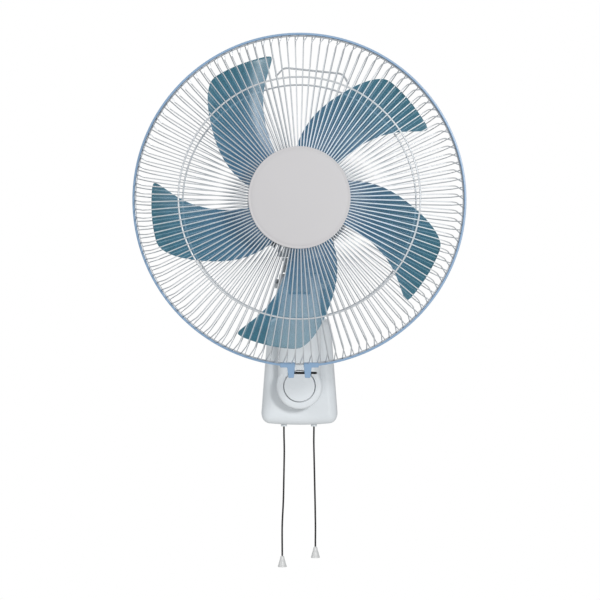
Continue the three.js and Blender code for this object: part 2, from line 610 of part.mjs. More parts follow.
function neckArm() {
  const foot = new THREE.Vector3(0, -(BOSS_REAR + NECK_THICKNESS / 2), BOSS_HEIGHT);
  const top = new THREE.Vector3(0, 4 - TILT_REACH, TILT_HEIGHT - 4);
  const path = new THREE.CatmullRomCurve3(ARM_STATIONS.map(([up, out]) => new THREE.Vector3(0,
    THREE.MathUtils.lerp(foot.y, top.y, out), THREE.MathUtils.lerp(foot.z, top.z, up))));
  const steps = 6;
  const rings = Array.from({ length: steps + 1 }, (_, i) => {
    const share = i / steps;
    const along = path.getTangentAt(share);
    const narrowing = THREE.MathUtils.smoothstep(share, 0.6, 1);
    const width = THREE.MathUtils.lerp(NECK_WIDTH, NECK_TOP_WIDTH, narrowing);
    const thickness = THREE.MathUtils.lerp(NECK_THICKNESS, 2 * KNUCKLE_RADIUS, narrowing);
    return armRing(path.getPointAt(share), Math.atan2(-along.y, along.z), width, thickness);
  });
  const boltRound = BOSS_FRONT - BOSS_ROUND;
  const bossBody = turned([
    [0, BOSS_REAR], [BOSS_RADIUS - 3, BOSS_REAR], [BOSS_RADIUS, BOSS_REAR + 8], [BOSS_RADIUS, boltRound],
    [BOSS_RADIUS - BOSS_ROUND * 0.3, boltRound + BOSS_ROUND * 0.7], [BOSS_RADIUS - BOSS_ROUND, BOSS_FRONT],
    [0, BOSS_FRONT],
  ], 20).translate(0, 0, BOSS_HEIGHT);
  const knuckle = crossRod(KNUCKLE_RADIUS, -NECK_TOP_WIDTH / 2, NECK_TOP_WIDTH / 2, 16);
  const body = join(loft(rings), bossBody, knuckle.translate(0, -TILT_REACH, TILT_HEIGHT));
  const slotWidth = TONGUE_WIDTH + 2 * CLEAR;
  const sweep = KNUCKLE_RADIUS + 2;
  const slot = crossRod(sweep, -slotWidth / 2, slotWidth / 2, 16).translate(0, -TILT_REACH, TILT_HEIGHT);
  const slotTop = block(slotWidth, 4 * sweep, 2 * sweep, 0, -TILT_REACH, TILT_HEIGHT + sweep);
  const tiltHole = crossRod(BOLT_RADIUS + CLEAR, -NECK_WIDTH, NECK_WIDTH);
  const capSeat = rod(CAP_RADIUS + CAP_GROOVE, CAP_SEAT, BOSS_FRONT + 5, 20).translate(0, 0, BOSS_HEIGHT);
  const pocket = rod(WASHER_RADIUS + 1, BOLT_SEAT, BOSS_FRONT).translate(0, 0, BOSS_HEIGHT);
  const boltHole = rod(BOLT_RADIUS + CLEAR, BOSS_REAR - 5, BOSS_FRONT).translate(0, 0, BOSS_HEIGHT);
  tiltHole.translate(0, -TILT_REACH, TILT_HEIGHT);
  return mesh('neck_arm', cut(body, slot, slotTop, tiltHole, capSeat, pocket, boltHole), WHITE_ABS);
}

function neckCap() {
  const back = CAP_SEAT + CLEAR;
  const front = back + CAP_THICKNESS;
  const body = turned([
    [0, back], [CAP_RADIUS, back], [CAP_RADIUS, front - 1], [CAP_RADIUS - 1, front], [0, front + 0.4],
  ], 24);
  return mesh('neck_cap', body.translate(0, 0, BOSS_HEIGHT), WHITE_ABS);
}

// Fasteners lie along the fan's direction and are turned to their place afterwards. A bolt's head
// bears on the plane at reach 0 and its shank runs behind it.
const HEAD_HEIGHT = 5.3;
const boltForm = (length) =>
  join(frontPlate(hexShape(NUT_FLATS), 0, HEAD_HEIGHT), rod(BOLT_RADIUS, -length, 1));

function nutForm() {
  const shape = hexShape(NUT_FLATS);
  shape.holes.push(circleShape(BOLT_RADIUS + CLEAR));
  return frontPlate(shape, 0, NUT_HEIGHT, 5);
}

function washerForm() {
  const bore = BOLT_RADIUS + CLEAR;
  return turnedRing([
    [bore, 0], [WASHER_RADIUS, 0], [WASHER_RADIUS, WASHER_THICKNESS], [bore, WASHER_THICKNESS],
  ], 8);
}

// Places a mesh: its own direction -Y is turned to face across, up or down.
function placed(node, x, y, z, facing = 'front') {
  node.position.set(x, y, z);
  const turns = {
    front: [0, 0, 0], left: [0, 0, -RIGHT_ANGLE], right: [0, 0, RIGHT_ANGLE],
    down: [RIGHT_ANGLE, 0, 0], up: [-RIGHT_ANGLE, 0, 0],
  };
  node.rotation.set(...turns[facing]);
  return node;
}

const NECK_WASHER_REACH = BASE_FRONT_INSIDE - CLEAR;
const NECK_NUT_REACH = NECK_WASHER_REACH - WASHER_THICKNESS - CLEAR;

function neckFasteners() {
  const headReach = BOLT_SEAT + CLEAR;
  const end = NECK_NUT_REACH - NUT_HEIGHT - 3;
  return [
    placed(mesh('neck_bolt', boltForm(headReach - end), ZINC_STEEL), 0, -headReach, BOSS_HEIGHT),
    placed(mesh('neck_washer', washerForm(), ZINC_STEEL),
      0, WASHER_THICKNESS - NECK_WASHER_REACH, BOSS_HEIGHT),
    placed(mesh('neck_nut', nutForm(), ZINC_STEEL), 0, NUT_HEIGHT - NECK_NUT_REACH, BOSS_HEIGHT),
  ];
}

function tiltFasteners() {
  const side = NECK_TOP_WIDTH / 2 + CLEAR;
  const length = 2 * side + NUT_HEIGHT + 4;
  return [
    placed(mesh('tilt_bolt', boltForm(length), ZINC_STEEL), -side, -TILT_REACH, TILT_HEIGHT, 'left'),
    placed(mesh('tilt_nut', nutForm(), ZINC_STEEL), side, -TILT_REACH, TILT_HEIGHT, 'right'),
  ];
}

// ---- tilting bracket with the swing post ----------------------------------------------------------
const PLATE_TOP = TILT_HEIGHT + TILT_PLATE_RISE;
const PLATE_BOTTOM = PLATE_TOP - TILT_PLATE;
const SPIGOT_TOP = YOKE_BOTTOM + YOKE_THICKNESS + CLEAR;

function tiltBracket() {
  const tongue = new THREE.Shape();
  tongue.absarc(-TILT_REACH, TILT_HEIGHT, KNUCKLE_RADIUS, Math.PI, 2 * Math.PI, false);
  tongue.lineTo(KNUCKLE_RADIUS - TILT_REACH, PLATE_BOTTOM + 1);
  tongue.lineTo(-KNUCKLE_RADIUS - TILT_REACH, PLATE_BOTTOM + 1);
  const rear = TILT_REACH - KNUCKLE_RADIUS - 3;
  const front = SWING_REACH + POST_RADIUS + 4;
  const plate = roundedShape(TILT_PLATE_WIDTH, front - rear, 8, 0, -(front + rear) / 2);
  const at = (geometry) => geometry.translate(0, -SWING_REACH, 0);
  const stud = uprightRod(CRANK_PIN_RADIUS, PLATE_BOTTOM + 1, STUD_TOP, 8);
  const shoulder = uprightRod(CRANK_PIN_RADIUS + STUD_SHOULDER, PLATE_TOP - 1, LINK_LOW - CLEAR, 8);
  const body = join(
    sidePlate(tongue, TONGUE_WIDTH, 6), topPlate(plate, TILT_PLATE, PLATE_BOTTOM),
    at(uprightRod(POST_RADIUS, PLATE_TOP - 1, YOKE_BOTTOM - CLEAR, 16)),
    at(uprightRod(SPIGOT_RADIUS, PLATE_TOP, SPIGOT_TOP, 12)),
    stud.translate(STUD_AT.x, STUD_AT.y, 0), shoulder.translate(STUD_AT.x, STUD_AT.y, 0),
  );
  const bore = at(uprightRod(BOLT_RADIUS + CLEAR, PLATE_BOTTOM - 1, SPIGOT_TOP + 1));
  const tiltHole = crossRod(BOLT_RADIUS + CLEAR, -NECK_WIDTH, NECK_WIDTH);
  tiltHole.translate(0, -TILT_REACH, TILT_HEIGHT);
  return mesh('tilt_bracket', cut(body, bore, tiltHole), DIE_CAST);
}

// The bolt comes up through the post; its nut keeps the yoke on the spigot.
function swingFasteners() {
  const washerBottom = SPIGOT_TOP + CLEAR;
  const nutBottom = washerBottom + WASHER_THICKNESS + CLEAR;
  const length = nutBottom + NUT_HEIGHT + 2 - PLATE_BOTTOM;
  return [
    placed(mesh('swing_bolt', boltForm(length), ZINC_STEEL),
      0, -SWING_REACH, PLATE_BOTTOM - CLEAR, 'down'),
    placed(mesh('swing_washer', washerForm(), ZINC_STEEL), 0, -SWING_REACH, washerBottom, 'up'),
    placed(mesh('swing_nut', nutForm(), ZINC_STEEL), 0, -SWING_REACH, nutBottom, 'up'),
  ];
}

// ---- swing drive ----------------------------------------------------------------------------------
// A small geared motor on the yoke turns a crank; the link ties the crank to a stud that stays put.
const CRANK_TOP = YOKE_BOTTOM - 1.5;
const CRANK_LOW = CRANK_TOP - CRANK_THICKNESS;
const LINK_TOP = CRANK_LOW - LINK_DROP;
const LINK_LOW = LINK_TOP - LINK_THICKNESS;
const STUD_TOP = LINK_TOP + 1;
const CRANK_REACH = SWING_REACH - CRANK_SETBACK;

function swingMotor() {
  const floor = YOKE_BOTTOM + YOKE_THICKNESS + CLEAR;
  const can = uprightRod(SWING_MOTOR_RADIUS, floor, floor + SWING_MOTOR_HEIGHT, 24);
  const spindle = uprightRod(SPINDLE_RADIUS, CRANK_LOW + CRANK_FLOOR + CLEAR, floor + 1);
  const lugs = block(2 * SWING_MOTOR_RADIUS + 8, 8, 2, 0, 0, floor + 1);
  return mesh('swing_motor', join(can, spindle, lugs).translate([0, -CRANK_REACH, 0]), ZINC_STEEL);
}

// A flat bar with a round eye at both ends, seen from above.
function barShape(from, fromRadius, to, toRadius) {
  const bar = new THREE.Shape();
  const heading = to.clone().sub(from).angle();
  bar.absarc(from.x, from.y, fromRadius, heading + RIGHT_ANGLE, heading + 3 * RIGHT_ANGLE, false);
  bar.absarc(to.x, to.y, toRadius, heading - RIGHT_ANGLE, heading + RIGHT_ANGLE, false);
  return bar;
}

const CRANK_CENTRE = new THREE.Vector2(0, -CRANK_REACH);
const CRANK_PIN_AT = new THREE.Vector2(-CRANK_THROW, -CRANK_REACH);
const STUD_AT = new THREE.Vector2(-CRANK_THROW, -SWING_REACH);

function swingCrank() {
  const arm = barShape(CRANK_CENTRE, CRANK_HUB_RADIUS, CRANK_PIN_AT, CRANK_EYE);
  const pin = uprightRod(CRANK_PIN_RADIUS, LINK_LOW - 1, CRANK_LOW + 1);
  const bore = uprightRod(SPINDLE_RADIUS + CLEAR, CRANK_LOW + CRANK_FLOOR, CRANK_TOP + 1);
  pin.translate(CRANK_PIN_AT.x, CRANK_PIN_AT.y, 0);
  const body = join(topPlate(arm, CRANK_THICKNESS, CRANK_LOW), pin);
  return mesh('swing_crank', cut(body, bore.translate(0, -CRANK_REACH, 0)), WHITE_ABS);
}

function swingLink() {
  const bar = barShape(STUD_AT, LINK_EYE, CRANK_PIN_AT, LINK_EYE);
  bar.holes.push(circleShape(CRANK_PIN_RADIUS + CLEAR, STUD_AT.x, STUD_AT.y));
  bar.holes.push(circleShape(CRANK_PIN_RADIUS + OPEN_PIVOT_CLEAR, CRANK_PIN_AT.x, CRANK_PIN_AT.y));
  return mesh('swing_link', topPlate(bar, LINK_THICKNESS, LINK_LOW, 5), ZINC_STEEL);
}

// ---- motor ----------------------------------------------------------------------------------------
const FRONT_BRACKET_REAR = MOTOR_FACE - BRACKET_LENGTH;
const STACK_FRONT = FRONT_BRACKET_REAR - CLEAR;
const STACK_REAR = STACK_FRONT - STACK_LENGTH;
const REAR_BRACKET_FRONT = STACK_REAR - CLEAR;
const REAR_BRACKET_BACK = REAR_BRACKET_FRONT - BRACKET_LENGTH;
const NOSE_FRONT = MOTOR_FACE + NOSE_LENGTH;
const REAR_NOSE_BACK = REAR_BRACKET_BACK - 8;
const SHAFT_BORE = SHAFT_RADIUS + CLEAR;
const MOTOR_STEPS = 16;         // straight pieces round the motor

function motorYoke() {
  const rear = CRANK_REACH - SWING_MOTOR_RADIUS - 2;
  const front = MOTOR_FACE - 8;
  const plate = roundedShape(YOKE_WIDTH, front - rear, 6, 0, -(front + rear) / 2);
  const rise = AXIS_HEIGHT - YOKE_BOTTOM - 28;
  const legs = [
    block(0.8 * YOKE_WIDTH, YOKE_LEG, rise, 0, -front + YOKE_LEG / 2, YOKE_BOTTOM + rise / 2),
    ...[-1, 1].map((side) => block(YOKE_LEG, 16, rise,
      side * (SWING_MOTOR_RADIUS + YOKE_LEG + 1), -REAR_BRACKET_FRONT + 10, YOKE_BOTTOM + rise / 2)),
  ];
  const ledge = block(2 * (SWING_MOTOR_RADIUS + YOKE_LEG) + YOKE_LEG + 2, 16, YOKE_THICKNESS,
    0, -REAR_BRACKET_FRONT + 10, YOKE_BOTTOM + YOKE_THICKNESS / 2);
  const body = join(topPlate(plate, YOKE_THICKNESS, YOKE_BOTTOM), ledge, ...legs);
  const seat = rod(BRACKET_RADIUS + CLEAR, REAR_BRACKET_BACK - 20, MOTOR_FACE + 5, MOTOR_STEPS);
  const pivot = uprightRod(SPIGOT_RADIUS + CLEAR, YOKE_BOTTOM - 1, YOKE_BOTTOM + YOKE_THICKNESS + 1, 12);
  const spindle = uprightRod(SPINDLE_RADIUS + 1, YOKE_BOTTOM - 1, YOKE_BOTTOM + YOKE_THICKNESS + 1);
  return mesh('motor_yoke', cut(body, atAxis(seat), pivot.translate(0, -SWING_REACH, 0),
    spindle.translate(0, -CRANK_REACH, 0)), ZINC_STEEL);
}

function frontBracket() {
  const inner = BRACKET_RADIUS - BRACKET_WALL;
  const face = MOTOR_FACE - BRACKET_WALL;
  const body = turnedRing([
    [inner, FRONT_BRACKET_REAR], [BRACKET_RADIUS, FRONT_BRACKET_REAR], [BRACKET_RADIUS, MOTOR_FACE - 6],
    [BRACKET_RADIUS - 6, MOTOR_FACE], [NOSE_RADIUS, MOTOR_FACE], [NOSE_RADIUS, NOSE_FRONT],
    [SHAFT_BORE, NOSE_FRONT], [SHAFT_BORE, face + BEARING_LENGTH + CLEAR],
    [BEARING_RADIUS + CLEAR, face + BEARING_LENGTH + CLEAR], [BEARING_RADIUS + CLEAR, face], [inner, face],
  ], MOTOR_STEPS);
  return mesh('motor_front_bracket', body, DIE_CAST);
}

function rearBracket() {
  const inner = BRACKET_RADIUS - BRACKET_WALL;
  const face = REAR_BRACKET_BACK + BRACKET_WALL;
  const bearingBack = face - BEARING_LENGTH + 6;
  const body = turned([
    [inner, REAR_BRACKET_FRONT], [BRACKET_RADIUS, REAR_BRACKET_FRONT],
    [BRACKET_RADIUS, REAR_BRACKET_BACK + 6], [BRACKET_RADIUS - 6, REAR_BRACKET_BACK],
    [BEARING_RADIUS + 4, REAR_BRACKET_BACK],
    [BEARING_RADIUS + 4, REAR_NOSE_BACK], [COVER_SCREW_RADIUS + CLEAR, REAR_NOSE_BACK],
    [COVER_SCREW_RADIUS + CLEAR, bearingBack - CLEAR - 1],
    [BEARING_RADIUS + CLEAR, bearingBack - CLEAR - 1], [BEARING_RADIUS + CLEAR, face + 6.5],
    [BEARING_RADIUS + 4, face + 6.5], [BEARING_RADIUS + 4, face],
    [inner, face], [inner, REAR_BRACKET_FRONT],
  ], MOTOR_STEPS);
  return mesh('motor_rear_bracket', body, DIE_CAST);
}

// Slots that point away from the axis, evenly round it.
function ventSlots(count, inner, outer, width, from, to) {
  const length = outer - inner;
  return Array.from({ length: count }, (_, i) => {
    const slot = block(width, to - from, length, 0, -(from + to) / 2, (inner + outer) / 2);
    return slot.rotateY(radians((360 / count) * (i + 0.5)));
  });
}

function statorCore() {
  return mesh('stator_core', turnedRing([
    [STACK_BORE, STACK_REAR], [STACK_RADIUS, STACK_REAR],
    [STACK_RADIUS, STACK_FRONT], [STACK_BORE, STACK_FRONT],
  ], MOTOR_STEPS), LAMINATION);
}

function coil(name, from, to) {
  const middle = (from + to) / 2;
  return mesh(name, turnedRing([
    [STACK_BORE + 2, from], [COIL_RADIUS, from], [COIL_RADIUS - 1, middle], [COIL_RADIUS - 5, to],
    [STACK_BORE + 7, to], [STACK_BORE + 3, middle],
  ], 12), COPPER);
}

function bearing(name, from, to) {
  return mesh(name, turnedRing([
    [SHAFT_BORE, from], [BEARING_RADIUS, from], [BEARING_RADIUS, to], [SHAFT_BORE, to],
  ], 12), BRONZE);
}

function bearings() {
  const frontFace = MOTOR_FACE - BRACKET_WALL;
  const rearBack = REAR_BRACKET_BACK + BRACKET_WALL - BEARING_LENGTH + 6 - 1;
  return [
    bearing('front_bearing', frontFace, frontFace + BEARING_LENGTH),
    bearing('rear_bearing', rearBack, rearBack + BEARING_LENGTH),
  ];
}

function rotorCore() {
  return mesh('rotor_core', turnedRing([
    [SHAFT_BORE, STACK_REAR], [STACK_BORE - ROTOR_GAP, STACK_REAR], [STACK_BORE - ROTOR_GAP, STACK_FRONT],
    [SHAFT_BORE, STACK_FRONT],
  ], 20), LAMINATION);
}

function motorShaft() {
  const rear = REAR_BRACKET_BACK + BRACKET_WALL - BEARING_LENGTH + 6;
  const pinHole = crossRod(PIN_RADIUS + CLEAR, -10, 10, 8).translate(0, -PIN_REACH, 0);
  const bar = rod(SHAFT_RADIUS, rear, HUB_FRONT + 12);
  return mesh('motor_shaft', cut(solid(bar), pinHole), ZINC_STEEL);
}

function motorCover() {
  const back = COVER_REAR;
  const front = back + COVER_LENGTH * COVER_OUTLINE[0][1];
  const skin = (wall) => COVER_OUTLINE.map(([inset, share], i) =>
    [COVER_RADIUS - inset - wall, back + COVER_LENGTH * share + (i === 3 ? wall * 0.8 : 0)]);
  const postFront = REAR_NOSE_BACK - CLEAR;
  const hole = COVER_SCREW_RADIUS + CLEAR;
  const body = turnedRing([
    ...skin(0), [6, back], [6, back + 3], [hole, back + 3], [hole, postFront], [8, postFront],
    [8, back + COVER_WALL + 2], ...skin(COVER_WALL).reverse(),
  ], 20);
  const vents = ventSlots(COVER_VENTS, 17, COVER_RADIUS - 28, 5, back - 1, back + 8);
  const doorTop = YOKE_BOTTOM + YOKE_THICKNESS + SWING_MOTOR_HEIGHT + 2 - AXIS_HEIGHT;
  const door = block(2 * (SWING_MOTOR_RADIUS + YOKE_LEG) + YOKE_LEG + 6, front - back, COVER_RADIUS,
    0, -(front + back) / 2 - 8, doorTop - COVER_RADIUS / 2);
  return mesh('motor_cover', cut(solid(body), ...vents, door), WHITE_ABS);
}

function coverScrew() {
  const seat = COVER_REAR + 3 - CLEAR;
  const body = turned([
    [0, seat - 2.4], [3.2, seat - 2.4], [3.8, seat - 1.4], [3.8, seat], [COVER_SCREW_RADIUS, seat],
    [COVER_SCREW_RADIUS, REAR_NOSE_BACK + 5], [0, REAR_NOSE_BACK + 5],
  ], 10);
  return mesh('cover_screw', body, ZINC_STEEL);
}

// ---- guard ----------------------------------------------------------------------------------------
const RIM_RADIUS = GUARD_DIAMETER / 2 - BAND_WALL - 2 * CLEAR - RIM_WIRE_RADIUS * 0.87;
const RIM_OFFSET = RIM_WIRE_RADIUS + CLEAR / 2;
const WELD_INSET = 1;           // how far inside the middle of its rim wire a hairpin is welded
const RIM_FACE = RIM_OFFSET + RIM_WIRE_RADIUS * Math.sin(radians(30));
const BAND_HALF = RIM_OFFSET + RIM_WIRE_RADIUS / 2 + CLEAR + BAND_WALL;
const FRONT_WIRE_REACH = RING_REACH + FRONT_DEPTH;
const REAR_PLATE_BACK = MOTOR_FACE + CLEAR;
const REAR_WIRE_REACH =
  REAR_PLATE_BACK + REAR_PLATE_THICKNESS + CLEAR + WIRE_RADIUS;

// A wire ring of three sides, one of them flat towards the front (1) or the wall (-1).
function ringWire(radius, wireRadius, reach, flat, turn = 0, steps = RING_STEPS) {
  const face = reach + flat * wireRadius * Math.sin(radians(30));
  const half = wireRadius * Math.cos(radians(30));
  const section = [[radius + half, face], [radius - half, face], [radius, reach - flat * wireRadius]];
  return turnedRing(section, steps).rotateY(radians(turn));
}

// Cuts the end of a wire parallel to the wall, through its end knot, so that it meets the rim flat on.
function trimEnd(geometry, end, before) {
  const along = end.clone().sub(before);
  const at = geometry.attributes.position;
  const corner = new THREE.Vector3();
  for (let i = 0; i < at.count; i++) {
    corner.fromBufferAttribute(at, i);
    if (corner.distanceTo(end) > 2 * WIRE_RADIUS) continue;
    corner.addScaledVector(along, (end.y - corner.y) / along.y);
    at.setXYZ(i, corner.x, end.y, corner.z);
  }
}

// One dish: hairpin wires welded to the rim. Each hairpin runs in from the rim, turns at the middle
// and runs out again, so that it makes two of the radial wires. The side wall twists on its way down.
function dish(knots, twist, rim) {
  const step = 360 / WIRE_COUNT;
  const leg = (azimuth) => knots.map(([radius, reach], i) =>
    onFan(radius, reach, azimuth + (i === knots.length - 1 ? twist : 0)));
  const path = [...leg(0.5 * step).reverse(), ...leg(1.5 * step)];
  const hairpin = wire(path, WIRE_RADIUS, 3);
  trimEnd(hairpin, path[0], path[1]);
  trimEnd(hairpin, path.at(-1), path.at(-2));
  const pins = Array.from({ length: WIRE_COUNT / 2 }, (_, i) =>
    hairpin.clone().rotateY(radians(2 * step * i)));
  return join(rim, ...pins);
}

const FRONT_KNOTS = [
  [HAIRPIN_RADIUS, FRONT_WIRE_REACH], [SHOULDER_RADIUS, RING_REACH + FRONT_SHOULDER],
  [RIM_RADIUS - WELD_INSET, RING_REACH + RIM_FACE],
];
const REAR_KNOTS = [
  [HAIRPIN_RADIUS, REAR_WIRE_REACH], [SHOULDER_RADIUS, RING_REACH - REAR_SHOULDER],
  [RIM_RADIUS - WELD_INSET, RING_REACH - RIM_FACE],
];

function frontGuard() {
  const rim = ringWire(RIM_RADIUS, RIM_WIRE_RADIUS, RING_REACH + RIM_OFFSET, 1, WIRE_TWIST);
  return mesh('front_guard', dish(FRONT_KNOTS, WIRE_TWIST, rim), WIRE_STEEL);
}

function rearGuard() {
  const rim = ringWire(RIM_RADIUS, RIM_WIRE_RADIUS, RING_REACH - RIM_OFFSET, -1, -WIRE_TWIST);
  return mesh('rear_guard', dish(REAR_KNOTS, -WIRE_TWIST, rim), WIRE_STEEL);
}

function badgeStudPlaces() {
  return Array.from({ length: BADGE_STUDS }, (_, i) =>
    onFan(HAIRPIN_RADIUS * 0.7, 0, (360 / BADGE_STUDS) * i));
}

// The pressed plates that hold the hairpins in the middle of each dish.
function frontHubPlate() {
  const front = faceReach(FRONT_KNOTS, HUB_PLATE_RADIUS) - WIRE_RADIUS - CLEAR;
  const back = front - HUB_PLATE_THICKNESS;
  const holes = badgeStudPlaces().map((p) =>
    rod(BADGE_STUD_RADIUS + CLEAR, back - 2, front + 2, 8).translate(p.x, 0, p.z));
  const disc = rod(HUB_PLATE_RADIUS, back, front, PLATE_STEPS);
  return mesh('front_hub_plate', cut(solid(disc), ...holes), ZINC_STEEL);
}

function rearHubPlate() {
  const front = REAR_PLATE_BACK + REAR_PLATE_THICKNESS;
  const disc = turnedRing([
    [NOSE_RADIUS + CLEAR, REAR_PLATE_BACK], [REAR_PLATE_RADIUS, REAR_PLATE_BACK],
    [REAR_PLATE_RADIUS, front], [NOSE_RADIUS + CLEAR, front],
  ], PLATE_STEPS);
  return mesh('rear_hub_plate', disc, ZINC_STEEL);
}

// Where the face of a dish lies at one radius.
function faceReach([[innerRadius, innerReach], [outerRadius, outerReach]], radius) {
  return innerReach + ((outerReach - innerReach) * (radius - innerRadius)) / (outerRadius - innerRadius);
}

// The reinforcing ring lies against the inner side of the wires.
function midRing(name, reach, inward) {
  const offset = (WIRE_RADIUS + 2 * CLEAR + MID_WIRE_RADIUS / 2) * inward;
  const ring = ringWire(MID_RING_RADIUS, MID_WIRE_RADIUS, reach + offset, -inward, 0, MID_RING_STEPS);
  return mesh(name, ring, WIRE_STEEL);
}

function rearGuardNut() {
  const back = REAR_PLATE_BACK + REAR_PLATE_THICKNESS + CLEAR;
  const front = back + GUARD_NUT_LENGTH;
  const bore = NOSE_RADIUS + CLEAR;
  const ring = turnedRing([
    [bore, back], [GUARD_NUT_RADIUS, back], [GUARD_NUT_RADIUS - 3, front], [bore, front],
  ], 16);
  const grip = block(5, GUARD_NUT_LENGTH, 5, 0, -back - GUARD_NUT_LENGTH / 2 - 4, GUARD_NUT_RADIUS);
  const grips = Array.from({ length: 8 }, (_, i) => grip.clone().rotateY(radians(45 * i)));
  return mesh('rear_guard_nut', cut(solid(ring), ...grips), GREY_ABS);
}

// The wire handle stands off the back of the rear dish, a little turned from the top.
const HANDLE_WIRE_RADIUS = 1.4;
const HANDLE_TURN = 6;          // degrees from the top
const HANDLE_WIDTH = 99.5;      // between the feet, which stand on two of the radial wires
const HANDLE_BAR = 76;          // straight top bar
const HANDLE_INSET = 42;        // middle of the bar inside the band's outer edge
const HANDLE_DROP = 15;         // bar to feet, towards the fan axis
const HANDLE_STANDOFF = 26;     // feet to bar, towards the wall
const HANDLE_SEAT = 1.25;       // feet past the back of the wires
const HANDLE_KNEE = 5;          // round corner between the bar and its leg

function guardHandle() {
  const [foot, bar] = [HANDLE_WIDTH / 2, HANDLE_BAR / 2];
  const barHeight = GUARD_DIAMETER / 2 - HANDLE_INSET;
  const footHeight = barHeight - HANDLE_DROP;
  const footRadius = Math.hypot(foot, footHeight);
  const footReach = faceReach(REAR_KNOTS, footRadius) - WIRE_RADIUS - HANDLE_WIRE_RADIUS + HANDLE_SEAT;
  const barReach = footReach - HANDLE_STANDOFF;
  const half = [
    [bar - HANDLE_KNEE, barHeight, barReach], [bar - 1, barHeight - 0.5, barReach + 1.5],
    [bar + 2, barHeight - 3, barReach + HANDLE_KNEE], [foot, footHeight, footReach],
  ];
  const knots = [...half.map(([x, z, reach]) => [-x, z, reach]).reverse(), ...half]
    .map(([x, z, reach]) => new THREE.Vector3(x, -reach, z));
  return mesh('guard_handle', wire(knots, HANDLE_WIRE_RADIUS, 6).rotateY(radians(HANDLE_TURN)), WIRE_STEEL);
}

// The clamp band: a channel that holds both rims, split at the bottom between two ears.
function guardBand() {
  const outer = GUARD_DIAMETER / 2;
  const [inner, lip] = [outer - BAND_WALL, outer - BAND_LIP];
  const [back, front] = [RING_REACH - BAND_HALF, RING_REACH + BAND_HALF];
  const channel = turnedRing([
    [lip, back], [outer, back], [outer, front], [lip, front], [lip, front - BAND_WALL],
    [inner, front - BAND_WALL], [inner, back + BAND_WALL], [lip, back + BAND_WALL],
  ], RING_STEPS);
  const ears = [-1, 1].flatMap((side) => earForm(side, outer, back, front));
  const gap = block(BAND_GAP, 6 * BAND_HALF, 6 * EAR_DROP, 0, -RING_REACH, -outer);
  const inside = rod(inner, back + BAND_WALL, front - BAND_WALL, RING_STEPS);
  const bodyWithEars = join(channel, ...ears).subtract(solid(inside));
  const screwHeight = -outer - EAR_DROP * 0.6;
  const hole = crossRod(BAND_SCREW_RADIUS + CLEAR, -2 * EAR_REACH, 2 * EAR_REACH);
  return mesh('guard_band', cut(bodyWithEars, gap, hole.translate(0, -RING_REACH, screwHeight)), BLUE_BAND);
}

function earForm(side, outer, back, front) {
  const inner = BAND_GAP / 2;
  const padTop = -(outer - EAR_RISE);
  const padBottom = padTop - EAR_PAD;
  const pad = new THREE.Shape([
    [inner, padTop - 3], [EAR_REACH, padTop - 3], [EAR_REACH, padBottom + 1.5],
    [EAR_REACH - 2, padBottom], [inner, padBottom],
  ].map(([x, z]) => new THREE.Vector2(side * x, z)));
  const legBottom = padBottom - EAR_DROP;
  const lean = (EAR_TOP_WIDTH - EAR_END_WIDTH) / 2;
  const outerEdge = inner + EAR_TOP_WIDTH;
  const leg = new THREE.Shape([
    [inner, padBottom + 1], [outerEdge, padBottom + 1], [outerEdge - lean, legBottom + 1],
    [outerEdge - lean - 1, legBottom], [inner + lean + 1, legBottom], [inner + lean, legBottom + 1],
  ].map(([x, z]) => new THREE.Vector2(side * x, z)));
  return [frontPlate(pad, back, front), frontPlate(leg, back + 1, front - 1)];
}

function bandFasteners() {
  const height = -GUARD_DIAMETER / 2 - EAR_DROP * 0.6;
  const start = BAND_GAP / 2 + EAR_TOP_WIDTH + CLEAR;
  const head = turned([[0, 0], [3.2, 0], [3.2, 1.6], [2, 2.6], [0, 2.6]], 12);
  const shank = rod(BAND_SCREW_RADIUS, -BAND_SCREW_LENGTH, 1, 12);
  const nut = turnedRing([
    [BAND_SCREW_RADIUS + CLEAR, 0], [3.4, 0], [3.4, 2.6], [BAND_SCREW_RADIUS + CLEAR, 2.6],
  ], 6);
  return [
    placed(mesh('band_screw', join(head, shank), BLACK_STEEL), -start, -RING_REACH, height, 'left'),
    placed(mesh('band_nut', nut, BLACK_STEEL), start, -RING_REACH, height, 'right'),
  ];
}

// ---- badge ----------------------------------------------------------------------------------------
function badge() {
  const back = FRONT_WIRE_REACH + WIRE_RADIUS + CLEAR;
  const front = back + BADGE_THICKNESS;
  const arc = [1, 0.7, 0].map((share) =>
    [(BADGE_RADIUS - 2.2) * share, front + BADGE_CROWN * (1 - share * share)]);
  const disc = turned([
    [0, back], [BADGE_RADIUS, back], [BADGE_RADIUS, front], [BADGE_RADIUS - 1, front + 0.8], ...arc,
  ], 32);
  const studBack = FRONT_WIRE_REACH - WIRE_RADIUS - 2 * CLEAR - HUB_PLATE_THICKNESS - 1;
  const studs = badgeStudPlaces().map((p) =>
    rod(BADGE_STUD_RADIUS, studBack, back + 1, 6).translate(p.x, 0, p.z));
  return mesh('badge', join(disc, ...studs), BADGE_SILVER);
}

// ---- impeller ---------------------------------------------------------------------------------------
const BLADE_MIDDLE = RING_REACH - BLADE_SETBACK;
const HUB_FRONT = BLADE_MIDDLE + 6;
const HUB_REAR = HUB_FRONT - HUB_LENGTH;
const PIN_REACH = HUB_FRONT - HUB_LENGTH + 8;

